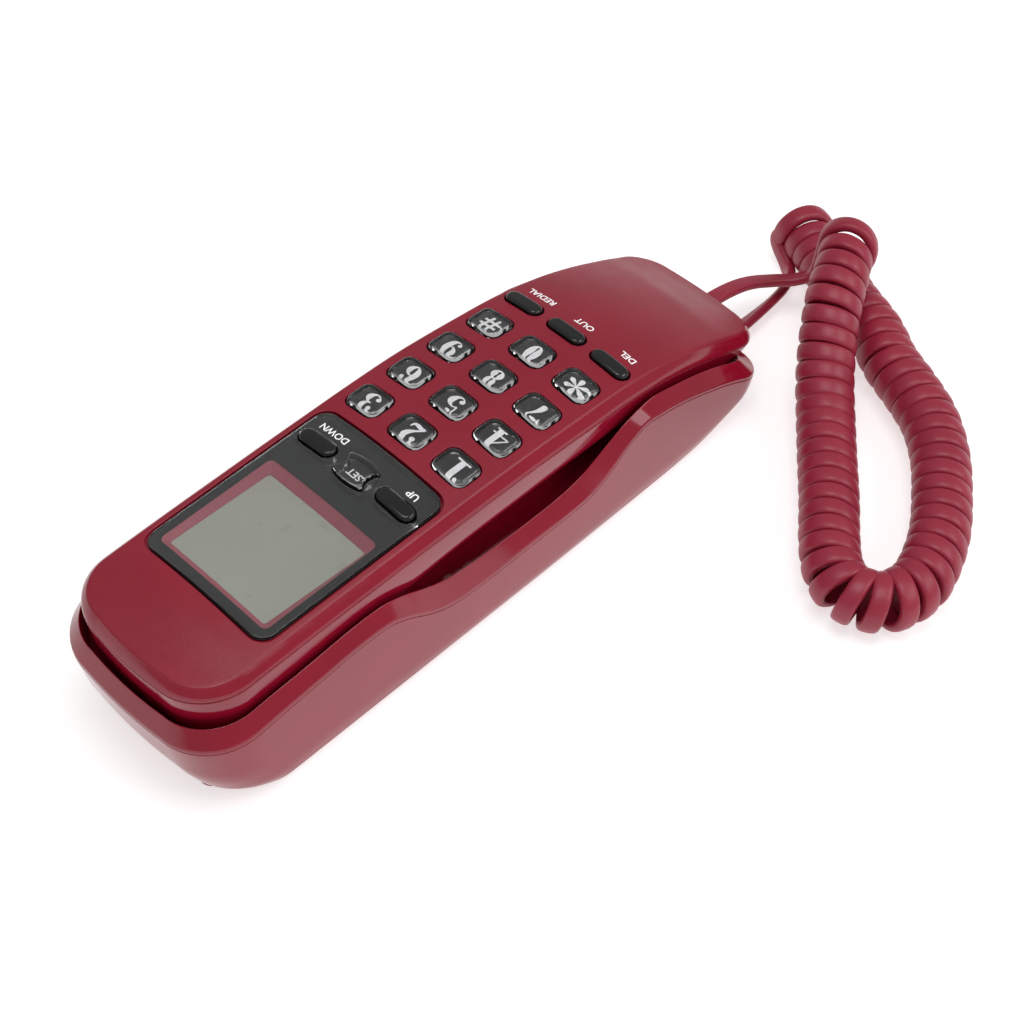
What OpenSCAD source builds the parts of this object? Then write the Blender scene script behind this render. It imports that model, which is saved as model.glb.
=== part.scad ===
// Slimline corded wall phone: a caller-display handset lying in its cradle base,
// with a coiled handset cord. Millimetres, +Z up out of the keypad face,
// +Y towards the display end, origin at the middle of the underside.

/* [Base] */
// Half width of the base across its rim
base_half = 29.3; // [25:0.1:34]
// Where the rim ends at the display end
base_top_y = 98.4; // [80:0.1:120]
// Where the rim ends at the cord end
base_low_y = -94; // [-120:0.1:-80]
// Wall of the base mouldings
base_wall = 2; // [1.5:0.1:3]
// Height of the flat underside above the feet's lowest point
foot_h = 1.2; // [0.5:0.1:4]

/* [Handset] */
// Half width of the handset at its seam
hand_half = 25.5; // [20:0.1:30]
// Half width at the seam at the cord end
hand_low_half = 22.6; // [18:0.1:28]
// Where the handset ends at the display end
hand_top_y = 95; // [80:0.1:110]
// Where the handset ends at the cord end
hand_low_y = -99.3; // [-120:0.1:-80]
// Wall of the handset mouldings
hand_wall = 1.9; // [1.5:0.1:3]
// Rise of the face from its edge to its middle
crown = 1.9; // [0:0.1:4]

/* [Keys] */
// Distance between key columns
key_col = 14.9; // [12:0.1:18]
// Distance between number key rows
key_row = 13.5; // [11:0.1:17]
// Place of the top number row
key_top_y = 6.5; // [-10:0.1:20]
// Number key width
key_w = 10.2; // [8:0.1:13]
// Number key length along the handset
key_l = 8.6; // [7:0.1:12]
// Function key length across the handset
pill_w = 11.4; // [8:0.1:14]
// Function key width
pill_l = 4.4; // [3:0.1:7]
// How far a key stands above the face
key_proud = 1.1; // [0.5:0.1:2]
// How far a key moves when pressed
key_travel = 0.8; // [0.4:0.1:1.5]

/* [Cord] */
// Outer diameter of the coil
coil_d = 15.6; // [8:0.1:20]
// Width of the flat lead
lead_w = 4.2; // [3:0.1:6]
// Thickness of the flat lead
lead_t = 2.6; // [2:0.1:4]

/* [Hidden] */

gap = 0.1;
joint_gap = 0.25;
end_span = 200;

// Colours
shell_red = [0.60, 0.07, 0.13];
cord_red = [0.62, 0.10, 0.17];
frame_pink = [0.66, 0.28, 0.32];
key_black = [0.06, 0.06, 0.07];
lens_black = [0.08, 0.09, 0.09];
glass_grey = [0.62, 0.63, 0.58];
board_green = [0.10, 0.32, 0.16];
brass = [0.75, 0.62, 0.30];
steel = [0.70, 0.71, 0.73];
rubber_grey = [0.25, 0.25, 0.26];
jack_clear = [0.80, 0.80, 0.78];

// Heights along the phone, one value each 10 mm from y = -100 to y = 100
crease_z = [
  17.8, 21.8, 26.6, 31.0, 34.6, 37.2, 39.0, 40.1, 41.1, 41.9, 42.3,
  42.5, 42.5, 42.5, 42.4, 42.3, 42.2, 42.0, 41.7, 41.2, 40.8
];
seam_z = [
  15.6, 18.8, 23.0, 27.4, 31.0, 33.7, 35.4, 36.6, 37.6, 38.4, 38.7,
  38.8, 38.9, 39.0, 39.0, 38.9, 38.8, 38.6, 38.3, 37.8, 37.0
];
back_z = [
  14.6, 14.2, 13.8, 14.8, 17.6, 22.0, 24.6, 25.6, 26.2, 26.6, 26.8,
  26.8, 26.4, 25.2, 22.6, 20.2, 19.2, 19.0, 19.0, 19.2, 19.6
];
floor_z = [
  11.8, 12.2, 12.4, 13.6, 15.0, 16.4, 17.0, 17.0, 17.0, 17.0, 17.0,
  17.0, 17.0, 17.0, 17.2, 17.5, 17.8, 18.0, 18.0, 18.1, 18.4
];
under_z = [
  10.8, 8.8, 4.6, 2.0, 1.25, 1.2, 1.2, 1.2, 1.2, 1.2, 1.2,
  1.2, 1.2, 1.2, 1.2, 1.2, 1.2, 1.2, 1.2, 1.2, 1.2
];
// Rim heights, one value each 5 mm, with the finger scoop in the middle
rim_out_z = [
  11.6, 11.8, 13.2, 15.6, 18.4, 20.9, 23.0, 25.0, 26.8, 28.2, 29.2,
  29.8, 28.0, 24.2, 20.9, 19.0, 18.4, 18.2, 18.2, 18.2, 18.2,
  18.1, 18.1, 18.3, 18.8, 20.2, 22.8, 26.2, 28.8, 29.7, 29.8,
  29.6, 29.1, 28.6, 28.1, 27.6, 27.0, 26.4, 25.8, 25.4, 25.0
];
rim_in_z = [
  12.9, 12.9, 14.6, 19.0, 22.0, 24.6, 26.8, 28.7, 30.3, 31.8, 33.0,
  32.6, 31.2, 29.0, 26.6, 24.4, 23.3, 22.9, 22.8, 22.9, 23.0,
  23.2, 23.5, 24.0, 24.8, 26.4, 28.8, 31.4, 33.2, 33.8, 33.8,
  33.5, 33.0, 32.6, 32.3, 32.0, 31.6, 31.2, 30.8, 30.3, 30.0
];

// A smooth curve through a table of heights, read at y
function at(y, t) =
  let (step = end_span / (len(t) - 1))
  let (u = min(max((y + end_span / 2) / step, 0), len(t) - 1.001))
  let (i = floor(u), f = u - i)
  let (a = t[max(i - 1, 0)], b = t[i], c = t[i + 1], d = t[min(i + 2, len(t) - 1)])
  b + 0.5 * f * (c - a + f * (2 * a - 5 * b + 4 * c - d + f * (3 * (b - c) + d - a)));

// Outline points from the display end to the cord end down the +X side
bow_steps = 3;
arc_steps = 5;
side_steps = 36;
bow = 3.2;
low_bow = 1.6;
taper_from = 0.5;
function outline(w, low_w, top_y, low_y, r, low_r) =
  let (cx = w - r, cy = top_y - bow * pow(cx / w, 2) - r)
  let (lx = low_w - low_r, ly = low_y + low_bow * pow(lx / low_w, 2) + low_r)
  concat(
    [for (i = [0:bow_steps - 1]) let (x = cx * i / bow_steps) [x, top_y - bow * pow(x / w, 2)]],
    [for (i = [0:arc_steps]) let (a = 90 - 90 * i / arc_steps) [cx + r * cos(a), cy + r * sin(a)]],
    [for (i = [1:side_steps - 1])
      let (t = i / side_steps, k = pow(max(0, t - taper_from) / (1 - taper_from), 1.5))
      [w + (low_w - w) * k, cy + (ly - cy) * t]],
    [for (i = [0:arc_steps]) let (a = -90 * i / arc_steps)
      [lx + low_r * cos(a), ly + low_r * sin(a)]],
    [for (i = [bow_steps - 1:-1:0]) let (x = lx * i / bow_steps)
      [x, low_y + low_bow * pow(x / low_w, 2)]]
  );

// A closed ring around the phone, with its height given by a function of x and y
function ring(half, height) = concat(
  [for (p = half) [p[0], p[1], height(p[0], p[1])]],
  [for (i = [len(half) - 2:-1:1]) [-half[i][0], half[i][1], height(half[i][0], half[i][1])]]
);

// A ring drawn in towards the middle line, on the crowned face
function drawn_in(half, s) = [for (p = half) [p[0] * s, p[1] * (1 - 0.11 * (1 - s))]];

// A closed solid between rings that run from the top down, zipped shut across both ends
module skin(rings) {
  n = len(rings[0]);
  m = len(rings);
  h = n / 2;
  last = (m - 1) * n;
  sides = [for (j = [0:m - 2]) for (i = [0:n - 1])
    let (a = j * n + i, b = j * n + (i + 1) % n, c = a + n, d = b + n) each [[b, a, c], [b, c, d]]];
  lid = [for (i = [1:h - 2]) each [[n - i, i, i + 1], [n - i, i + 1, n - i - 1]]];
  ends = [[0, 1, n - 1], [h - 1, h, h + 1]];
  floor_faces = [for (f = concat(lid, ends)) [f[2] + last, f[1] + last, f[0] + last]];
  polyhedron(points = [for (r = rings) each r], faces = concat(sides, lid, ends, floor_faces));
}

// Handset section widths, from the seam in to the face and down to the back
face_half = 23.1;
face_low_half = 20.6;
face_top_y = 93.1;
face_low_y = -98.3;
face_fade = 14;
function face_rise(x, y) =
  let (e = min(1, (face_top_y - y) / face_fade, (y - face_low_y) / face_fade))
  crown * (1 - pow(x / face_half, 2)) * max(0, e);
function face_z(x, y) = at(y, crease_z) + face_rise(x, y);
face_edge = outline(face_half, face_low_half, face_top_y, face_low_y, 11, 9);
bevel_edge = outline(24.9, 22, 94.4, -99.1, 13, 9.6);
seam_edge = outline(hand_half, hand_low_half, hand_top_y, hand_low_y, 15, 10);
side_edge = outline(24.9, 21.8, 93.6, -98, 14, 9);
belly_edge = outline(23.2, 20, 91.6, -96.2, 13, 8);
back_edge = outline(20, 16.8, 88, -93.5, 11, 6);
seam_in = outline(23.6, 20.7, 93, -98, 13, 8);
bevel_in = outline(23.2, 20.2, 92.6, -97.6, 13, 8);
face_in = outline(21.4, 18.6, 91.4, -96.6, 10, 7);
belly_in = outline(22.4, 19.4, 91.2, -95.6, 12, 7);
back_in = outline(18.8, 15.6, 86.8, -91.5, 10, 6);
belly_share = 0.31;
function belly_z(y) = at(y, back_z) + belly_share * (at(y, seam_z) - at(y, back_z));
function low_belly_z(y) = at(y, back_z) + 0.12 * (at(y, seam_z) - at(y, back_z));

front_rings = [
  for (s = [0.25, 0.5, 0.78]) ring(drawn_in(face_edge, s), function(x, y) face_z(x, y)),
  ring(face_edge, function(x, y) at(y, crease_z)),
  ring(bevel_edge, function(x, y) at(y, seam_z) + 0.42 * (at(y, crease_z) - at(y, seam_z))),
  ring(seam_edge, function(x, y) at(y, seam_z)),
  ring(seam_in, function(x, y) at(y, seam_z)),
  ring(bevel_in, function(x, y) at(y, seam_z) + 0.25 * (at(y, crease_z) - at(y, seam_z))),
  ring(face_in, function(x, y) at(y, crease_z) - hand_wall),
  for (s = [0.78, 0.5, 0.25])
    ring(drawn_in(face_in, s), function(x, y) face_z(x, y) - hand_wall)
];
rear_rings = [
  ring(seam_edge, function(x, y) at(y, seam_z) - gap),
  ring(side_edge, function(x, y) belly_z(y)),
  ring(belly_edge, function(x, y) low_belly_z(y)),
  ring(back_edge, function(x, y) at(y, back_z)),
];
rear_in_rings = [
  ring(seam_in, function(x, y) at(y, seam_z) + 2),
  ring(seam_in, function(x, y) at(y, seam_z) - 0.7),
  ring(belly_in, function(x, y) belly_z(y) + 0.6),
  ring(back_in, function(x, y) at(y, back_z) + hand_wall)
];

// Base rings, from the cradle floor up over the rim and down the outside
rim_low_half = 28.7;
in_half = 26.5;
skirt = 1.1;
floor_edge = outline(20.6, 17.6, 88.8, -87, 11, 7);
wall_edge = outline(25.3, 23.2, 94.6, -89.8, 14, 9);
inner_rim = outline(in_half, 25.2, 95.9, -91.4, 14, 9);
outer_rim = outline(base_half, rim_low_half, base_top_y, base_low_y, 16, 9);
skirt_in = outline(27, 26.2, 96.4, -91.7, 14, 8);
wall_under = outline(26.8, 25.4, 95.8, -91.2, 14, 8);
floor_under = outline(22, 19, 90, -87.6, 11, 7);
floor_deep = outline(16, 13, 84, -84, 9, 6);
function wall_z(y) = at(y, floor_z) + 0.3 * (at(y, rim_in_z) - at(y, floor_z));
function under_wall_z(y) = min(wall_z(y) - 0.6, at(y, rim_out_z) - skirt - 0.5);
top_rings = [
  ring(floor_deep, function(x, y) at(y, floor_z)),
  ring(floor_edge, function(x, y) at(y, floor_z)),
  ring(wall_edge, function(x, y) wall_z(y)),
  ring(inner_rim, function(x, y) at(y, rim_in_z)),
  ring(outer_rim, function(x, y) at(y, rim_out_z)),
  ring(outer_rim, function(x, y) at(y, rim_out_z) - skirt),
  ring(skirt_in, function(x, y) at(y, rim_out_z) - skirt),
  ring(wall_under, function(x, y) under_wall_z(y)),
  ring(floor_under, function(x, y) at(y, floor_z) - base_wall),
  ring(floor_deep, function(x, y) at(y, floor_z) - base_wall)
];

seam_drop = skirt + 0.15;
function side_z(y, share) = at(y, under_z) + share * (at(y, rim_out_z) - seam_drop - at(y, under_z));
tub_edge = outline(29.1, 28.5, 96.1, -93.6, 15, 9);
heel_edge = outline(28.9, 28.2, 92.8, -93, 15, 9);
sole_edge = outline(28.4, 27.4, 88.6, -91.4, 14, 8);
tub_in = outline(27.25, 26.5, 96.6, -92, 14, 8);
heel_in = outline(26.9, 25.8, 91.9, -88.5, 13, 8);
sole_in = outline(25.4, 24.2, 86.4, -84.5, 11, 7);
tub_rings = [
  ring(outer_rim, function(x, y) side_z(y, 1)),
  ring(tub_edge, function(x, y) side_z(y, 0.45)),
  ring(heel_edge, function(x, y) side_z(y, 0.13)),
  ring(sole_edge, function(x, y) at(y, under_z))
];
tub_in_rings = [
  ring(tub_in, function(x, y) side_z(y, 1) + 2),
  ring(tub_in, function(x, y) side_z(y, 1) - 0.7),
  ring(heel_in, function(x, y) at(y, under_z) + min(4.5, 0.35 * (side_z(y, 1) - at(y, under_z)) + 0.3)),
  ring(sole_in, function(x, y) at(y, under_z) + base_wall)
];

// Display stack
panel_half = 21.7;
panel_low_y = 14.6;
panel_top_y = 72.9;
panel_floor = 41.6;
panel_r = 4.5;
panel_play = 0.7;
pad_t = 1.7;
window_half = 18.4;
window_low_y = 34.8;
window_top_y = 69;
glass_half = 16.3;
glass_low_y = 37.2;
glass_top_y = 67.5;
glass_rim = 1.3;
glass_t = 1.8;
glass_low_z = 39.3;
glass_high_z = 40.6;
glass_tilt = atan((glass_high_z - glass_low_z) / (glass_top_y - glass_low_y));
frame_half = 19.3;
frame_low_y = 33.7;
frame_top_y = 70.1;
frame_low_z = 37.4;
frame_flange = 1.2;
lcd_board_z = 34.2;
board_t = 1.6;

// Key boards and keys
board_slope = 0.056;
board_ref_y = 25;
board_ref_z = 36.4;
board_low_y = -52;
board_high_y = 31;
board_half = 19.6;
membrane_t = 0.8;
flange_t = 0.8;
flange_out = 0.9;
flange_side = 0.3;
key_clear = 0.4;
key_r = 2.4;
function board_top(y) = board_ref_z + board_slope * (y - board_ref_y);
row_y = [for (i = [0:3]) key_top_y - key_row * i];
func_y = -46.1;
menu_y = 24.6;
menu_col = 13.5;
set_w = 10.4;
set_l = 8;
set_pinch = 1.5;
set_bow = 1.2;
set_corner = 0.5;
function key_x(col) = (col - 1) * key_col;

// Screws
screw_r = 1.25;
screw_head_r = 2.4;
screw_head_t = 1.6;
boss_r = 3.2;
hand_screws = [[14, -57], [-14, -57], [15, 84.5], [-15, 84.5]];
base_screws_xy = [[19.5, 78], [-19.5, 78], [19.5, -58], [-19.5, -58]];

// Receiver and microphone
receiver_y = 67;
receiver_r = 12.5;
receiver_t = 7.5;
gasket_t = 1;
mic_y = -66;
mic_r = 4;
mic_t = 3;
boot_wall = 1.2;
hole_r = 0.8;

// Jacks and plugs, 4-way for the handset cord and 6-way for the line
plug_w = 7.6;
plug_t = 5.2;
plug_l = 12;
jack_wall = 0.9;
jack_l = 14;
hand_jack_x = -2.5;
hand_jack_y = -86;
hand_jack_z = 17.8;
base_jack_x = -9;
base_jack_y = -76;
base_jack_z = 6.4;
line_jack_x = 9;
line_w = 9.7;

// Hook switch
hook_y = 49;
hook_w = 7;
hook_l = 5;
hook_top_z = 19.6;
hook_low_z = 9.5;
hook_collar = 1.2;

// Wall slots, feet, board and ringer in the base
slot_seat_y = [69, -32.6];
slot_travel = 8;
slot_head_r = 5;
slot_neck_r = 2.3;
foot_top_x = 15.4;
foot_top_y = 87.2;
foot_low_x = 16;
foot_low_y = -54;
foot_r = 3.2;
base_board_z = 4.6;
base_board_half = 20;
base_board_low = -22;
base_board_high = 54;
ringer_r = 11;
ringer_t = 4;
ringer_y = 8;

// Cord routes, round numbers by hand
coil_route = [
  [-18, -139, 24], [-24, -128, 24], [-30, -117, 21.5], [-36, -108, 16.5], [-42, -100.5, 12],
  [-49, -93, 8.8], [-58, -83, 7.9], [-67, -73, 7.9], [-75, -63.5, 7.9], [-81.5, -57, 7.9],
  [-88, -54, 7.9], [-94.5, -55.5, 7.9], [-99.5, -61, 7.9], [-101, -69, 7.9], [-98.5, -78, 7.9],
  [-94, -87, 7.9], [-87.5, -96, 7.9], [-79.5, -105.5, 7.9], [-70, -113.5, 7.9], [-60, -118.5, 7.9],
  [-49, -123, 7.9], [-38, -127, 7.9], [-26, -131.5, 7.9], [-14, -137, 7.9], [-4, -141.5, 7.9],
  [3, -145, 7.9]
];
lead_hand_route = [
  [-2.5, -86.3, 15.9], [-2.5, -92, 15.2], [-2.5, -97, 15], [-2.5, -102, 14.4], [-2.4, -107, 13.2], [-2.8, -112, 12],
  [-4, -116.5, 11.3], [-7, -121, 11.6], [-10.5, -124.5, 13], [-14.5, -127, 15], [-19, -129, 18.5]
];
lead_base_route = [
  [-9, -76, 5.8], [-9, -81, 5.5], [-9, -87, 5.2], [-9, -92, 4.9], [-8.9, -97, 4.5], [-8.7, -102, 4],
  [-8.3, -107, 3.4], [-7.9, -112, 2.9], [-7.6, -117, 2.6], [-7.2, -122, 2.5], [-6.4, -127, 2.5],
  [-5.2, -131.5, 2.6], [-4, -135.5, 3.2], [-3, -138, 4]
];

// A tube along a route, with an oval section, wider across than high
function route_step(p, i) = p[min(i + 1, len(p) - 1)] - p[max(i - 1, 0)];
function unit(v) = v / norm(v);
module tube(route, w, t, sides) {
  n = len(route);
  rings = [for (i = [0:n - 1])
    let (d = unit(route_step(route, i)), across = unit(cross(d, [0, 0, 1])), up = cross(across, d))
    for (k = [0:sides - 1]) let (a = 360 * k / sides)
    route[i] + across * cos(a) * w / 2 + up * sin(a) * t / 2];
  walls = [for (i = [0:n - 2]) for (k = [0:sides - 1])
    let (a = i * sides + k, b = i * sides + (k + 1) % sides, c = a + sides, d = b + sides)
    each [[a, b, d], [a, d, c]]];
  first = [[for (k = [sides - 1:-1:0]) k]];
  last = [[for (k = [0:sides - 1]) (n - 1) * sides + k]];
  polyhedron(points = rings, faces = concat(walls, first, last));
}

// A block with its corners rounded in plan
module rounded(w, l, h, r) {
  linear_extrude(height = h)
    rounded_plan(w, l, r);
}

module rounded_plan(w, l, r) {
  polygon([for (q = [0:3]) for (i = [0:4])
    let (a = q * 90 + i * 22.5, sx = (q == 0 || q == 3) ? 1 : -1, sy = q < 2 ? 1 : -1)
    [sx * (w / 2 - r) + r * cos(a), sy * (l / 2 - r) + r * sin(a)]]);
}

module block(x0, x1, y0, y1, z0, z1) {
  translate([x0, y0, z0])
    cube([x1 - x0, y1 - y0, z1 - z0]);
}

module post(x, y, r, z0, z1) {
  translate([x, y, z0])
    cylinder(r = r, h = z1 - z0, $fn = 48);
}

// Handset mouldings
module key_holes() {
  for (y = row_y, c = [0:2])
    translate([key_x(c), y, 30])
      rounded(key_w + 2 * key_clear, key_l + 2 * key_clear, 30, key_r + key_clear);
  for (c = [0:2])
    translate([key_x(c), func_y, 28])
      rounded(pill_w + 2 * key_clear, pill_l + 2 * key_clear, 30, pill_l / 2);
  menu_holes(37);
}

module menu_holes(z) {
  for (c = [-1, 1])
    translate([c * menu_col, menu_y, z])
      rounded(pill_w + 2 * key_clear, pill_l + 2 * key_clear, 12, pill_l / 2);
  translate([0, menu_y, z])
    linear_extrude(height = 12)
      set_plan(set_w + 2 * key_clear, set_l + 2 * key_clear);
}

// The middle menu key, with bowed ends and drawn-in sides
module set_plan(w, l) {
  polygon([for (q = [0:3]) for (i = [0:5])
    let (t = (i - 2.5) / 2.5, across = q % 2 == 0, s = q < 2 ? 1 : -1)
    across
      ? [s * (w / 2 - set_pinch * (1 - t * t)), s * t * (l / 2 - set_bow)]
      : [-s * t * (w / 2 - set_corner), s * (l / 2 - set_bow * t * t * 0.8)]]);
}

module handset_front_shell() {
  color(shell_red)
    difference() {
      union() {
        skin(front_rings);
        block(-21.5, 21.5, panel_low_y - 1, panel_top_y + 1, panel_floor - pad_t, panel_floor + 0.2);
        for (p = hand_screws)
          post(p[0], p[1], boss_r, p[1] > 0 ? 26 : 23.5, face_z(p[0], p[1]) - hand_wall + 0.6);
      }
      translate([0, (panel_low_y + panel_top_y) / 2, panel_floor])
        rounded(2 * panel_half, panel_top_y - panel_low_y, 10, panel_r);
      block(-frame_half - gap, frame_half + gap, frame_low_y - gap, frame_top_y + gap, 38, 43);
      key_holes();
      for (p = hand_screws)
        post(p[0], p[1], screw_r - 0.05, 20, face_z(p[0], p[1]) - hand_wall - 2);
      block(hand_jack_x - 2.9, hand_jack_x + 2.9, -101, -94, 12, 16.7);
    }
}

module handset_rear_shell() {
  color(shell_red)
    difference() {
      union() {
        difference() {
          skin(rear_rings);
          skin(rear_in_rings);
        }
        for (p = hand_screws)
          post(p[0], p[1], boss_r, at(p[1], back_z) + 0.5, p[1] > 0 ? 25.8 : 23.3);
        block(-12, 12, -41, -39, 25.5, board_top(-41) - board_t - 0.1);
        block(-12, 12, 19, 21, 27, board_top(19) - board_t - 0.1);
      }
      for (p = hand_screws) {
        post(p[0], p[1], screw_r + 0.25, 10, 30);
        post(p[0], p[1], screw_head_r + 0.2, 10, at(p[1], back_z) + screw_head_t + 0.4);
      }
      for (r = [0, 1, 2])
        for (a = [0:360 / max(1, 6 * r):359])
          post(3 * r * cos(a), receiver_y + 3 * r * sin(a), hole_r, 15, 24);
      post(0, mic_y, hole_r, 10, 20);
      block(hand_jack_x - 5.1, hand_jack_x + 5.1, hand_jack_y - 0.3, hand_jack_y + jack_l + 0.3, 10, 21);
      block(hand_jack_x - 2.9, hand_jack_x + 2.9, -101, hand_jack_y + 0.5, 10, 21);
    }
}

module handset_screws() {
  color(steel)
    for (p = hand_screws) {
      seat = at(p[1], back_z) + screw_head_t + 0.4;
      post(p[0], p[1], screw_head_r, seat - screw_head_t, seat);
      post(p[0], p[1], screw_r - 0.1, seat - 0.1, seat + 9);
    }
}

lens_edge = [for (p = outline(panel_half - panel_play, panel_half - panel_play,
  panel_top_y - panel_play, panel_low_y + panel_play, panel_r, panel_r)) p];
function lens_in(s) = [for (p = lens_edge)
  [p[0] * s, 43.75 + (p[1] - 43.75) * (1 - 0.3 * (1 - s))]];
lens_proud = 0.15;
module lens_panel() {
  color(lens_black)
    difference() {
      skin([
        ring(lens_in(0.4), function(x, y) face_z(x, y) + lens_proud),
        ring(lens_in(0.75), function(x, y) face_z(x, y) + lens_proud),
        ring(lens_in(0.985), function(x, y) face_z(x, y) + lens_proud),
        ring(lens_edge, function(x, y) face_z(x, y) - 0.15),
        ring(lens_edge, function(x, y) panel_floor + 0.05)
      ]);
      menu_holes(37);
    }
}

// A slab in the plane of the tilted display glass, top face at dz above it
module glass_slab(half, y0, y1, dz, t) {
  translate([0, glass_low_y, glass_low_z + dz])
    rotate([glass_tilt, 0, 0])
      translate([-half, y0 - glass_low_y, -t])
        cube([2 * half, y1 - y0, t]);
}

module display_frame() {
  color(frame_pink)
    difference() {
      union() {
        block(-frame_half, frame_half, frame_low_y, frame_top_y, frame_low_z, panel_floor - gap);
        block(-frame_half - frame_flange, frame_half + frame_flange, frame_low_y - frame_flange,
          frame_top_y + frame_flange, frame_low_z, panel_floor - pad_t - gap);
      }
      hull() {
        block(-window_half, window_half, window_low_y, window_top_y, panel_floor - gap, 43);
        glass_slab(glass_half, glass_low_y, glass_top_y, 0.2, 0.3);
      }
      glass_slab(glass_half + glass_rim + gap, glass_low_y - glass_rim - gap,
        glass_top_y + glass_rim + gap, 0, 6);
    }
}

module display_glass() {
  color(glass_grey)
    glass_slab(glass_half + glass_rim, glass_low_y - glass_rim, glass_top_y + glass_rim, -0.05, glass_t);
}

module display_connector() {
  color(rubber_grey)
    block(-13, 13, glass_low_y, glass_low_y + 2.4, lcd_board_z + board_t + 0.05,
      glass_low_z - glass_t - 0.15);
}

module display_board() {
  color(board_green)
    block(-18, 18, frame_low_y - 1, frame_top_y, lcd_board_z, lcd_board_z + board_t);
}

// A sheet parallel to the key board, from z0 to z1 above the board's top face
module board_sheet(half, y0, y1, z0, z1) {
  translate([half, 0, 0])
    rotate([0, -90, 0])
      linear_extrude(height = 2 * half)
        polygon([
          [board_top(y0) + z0, y0], [board_top(y1) + z0, y1],
          [board_top(y1) + z1, y1], [board_top(y0) + z1, y0]
        ]);
}

module key_board() {
  color(board_green)
    board_sheet(board_half, board_low_y, board_high_y, -board_t, 0);
}

module key_membrane() {
  color(rubber_grey)
    board_sheet(board_half - 0.6, board_low_y + 1, board_high_y - 1, 0.05, membrane_t);
}

module key_plan(w, l, r) {
  if (r == 0)
    set_plan(w, l);
  else
    rounded_plan(w, l, r);
}

// A key: the cap that shows, the flange that holds it in and the stem under it
module key(x, y, w, l, r, hidden_z) {
  flange_z = hidden_z - 0.25 - flange_t;
  translate([x, y, flange_z + flange_t - 0.05])
    linear_extrude(height = face_z(x, y) + key_proud - 0.7 - flange_z - flange_t + 0.05)
      key_plan(w, l, r);
  translate([x, y, face_z(x, y) + key_proud - 0.75])
    linear_extrude(height = 0.75, scale = [1 - 0.9 / w, 1 - 0.9 / l])
      key_plan(w, l, r);
  translate([x, y, flange_z])
    linear_extrude(height = flange_t)
      key_plan(w + 2 * flange_side, l + 2 * flange_out, r);
  post(x, y, 1.6, board_top(y) + membrane_t + key_travel + 0.15, flange_z + 0.1);
}

function under_face(x, y) = face_z(abs(x) + key_w / 2 + flange_out, y) - hand_wall;

module number_key(c, i) {
  color(key_black)
    key(key_x(c), row_y[i], key_w, key_l, key_r, under_face(key_x(c), row_y[i] - key_l / 2 - flange_out));
}

module function_key(c) {
  color(key_black)
    key(key_x(c), func_y, pill_w, pill_l, pill_l / 2 - 0.01,
      under_face(key_x(c), func_y - pill_l / 2 - flange_out) - 0.5);
}

module menu_key(c) {
  color(key_black)
    if (c == 0)
      key(0, menu_y, set_w, set_l, 0, panel_floor - pad_t);
    else
      key(c * menu_col, menu_y, pill_w, pill_l, pill_l / 2 - 0.01, panel_floor - pad_t);
}

// Receiver and microphone
receiver_z = at(receiver_y - receiver_r, back_z) + hand_wall + gap;
module receiver_gasket() {
  color(rubber_grey)
    difference() {
      post(0, receiver_y, receiver_r, receiver_z, receiver_z + gasket_t);
      post(0, receiver_y, receiver_r - 3, receiver_z - 1, receiver_z + gasket_t + 1);
    }
}

module receiver() {
  color(steel)
    post(0, receiver_y, receiver_r, receiver_z + gasket_t + 0.02, receiver_z + gasket_t + receiver_t);
}

mic_z = at(mic_y + mic_r + boot_wall, back_z) + hand_wall + gap;
module microphone_boot() {
  color(rubber_grey)
    difference() {
      post(0, mic_y, mic_r + boot_wall, mic_z, mic_z + boot_wall + mic_t);
      post(0, mic_y, mic_r + 0.02, mic_z + boot_wall, mic_z + boot_wall + mic_t + 1);
      post(0, mic_y, hole_r, mic_z - 1, mic_z + boot_wall + 1);
    }
}

module microphone() {
  color(steel)
    post(0, mic_y, mic_r, mic_z + boot_wall + 0.02, mic_z + boot_wall + mic_t);
}

// A modular jack that opens towards -Y, and the plug that fits it
module jack(x, y, z, w) {
  color(key_black)
    difference() {
      block(x - w / 2 - jack_wall, x + w / 2 + jack_wall, y, y + jack_l,
        z - plug_t / 2 - 0.5, z + plug_t / 2 + 0.5);
      block(x - w / 2 - 0.1, x + w / 2 + 0.1, y - 1, y + jack_l - 1.5,
        z - plug_t / 2 - 0.05, z + plug_t / 2 + 0.05);
    }
}

module plug(x, y, z) {
  color(jack_clear)
    difference() {
      block(x - plug_w / 2, x + plug_w / 2, y + 0.2, y + plug_l, z - plug_t / 2, z + plug_t / 2);
      block(x - lead_w / 2 - 0.3, x + lead_w / 2 + 0.3, y - 1, y + 1, z - plug_t / 2 - 1, z + 1.6);
    }
}

module handset_jack() {
  jack(hand_jack_x, hand_jack_y, hand_jack_z, plug_w + 0.2);
}

module handset_plug() {
  plug(hand_jack_x, hand_jack_y, hand_jack_z);
}

module base_cord_jack() {
  jack(base_jack_x, base_jack_y, base_jack_z, plug_w + 0.2);
}

module base_plug() {
  plug(base_jack_x, base_jack_y, base_jack_z);
}

module line_jack() {
  jack(line_jack_x, base_jack_y, base_jack_z, line_w);
}

// Base mouldings
module base_top_shell() {
  color(shell_red)
    difference() {
      union() {
        skin(top_rings);
        for (p = base_screws_xy)
          post(p[0], p[1], boss_r, 8, at(p[1], floor_z) - 1);
      }
      block(-hook_w / 2 - joint_gap, hook_w / 2 + joint_gap, hook_y - hook_l / 2 - joint_gap,
        hook_y + hook_l / 2 + joint_gap, 10, 25);
      for (p = base_screws_xy)
        post(p[0], p[1], screw_r - 0.05, 6, at(p[1], floor_z) - base_wall);
    }
}

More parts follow.
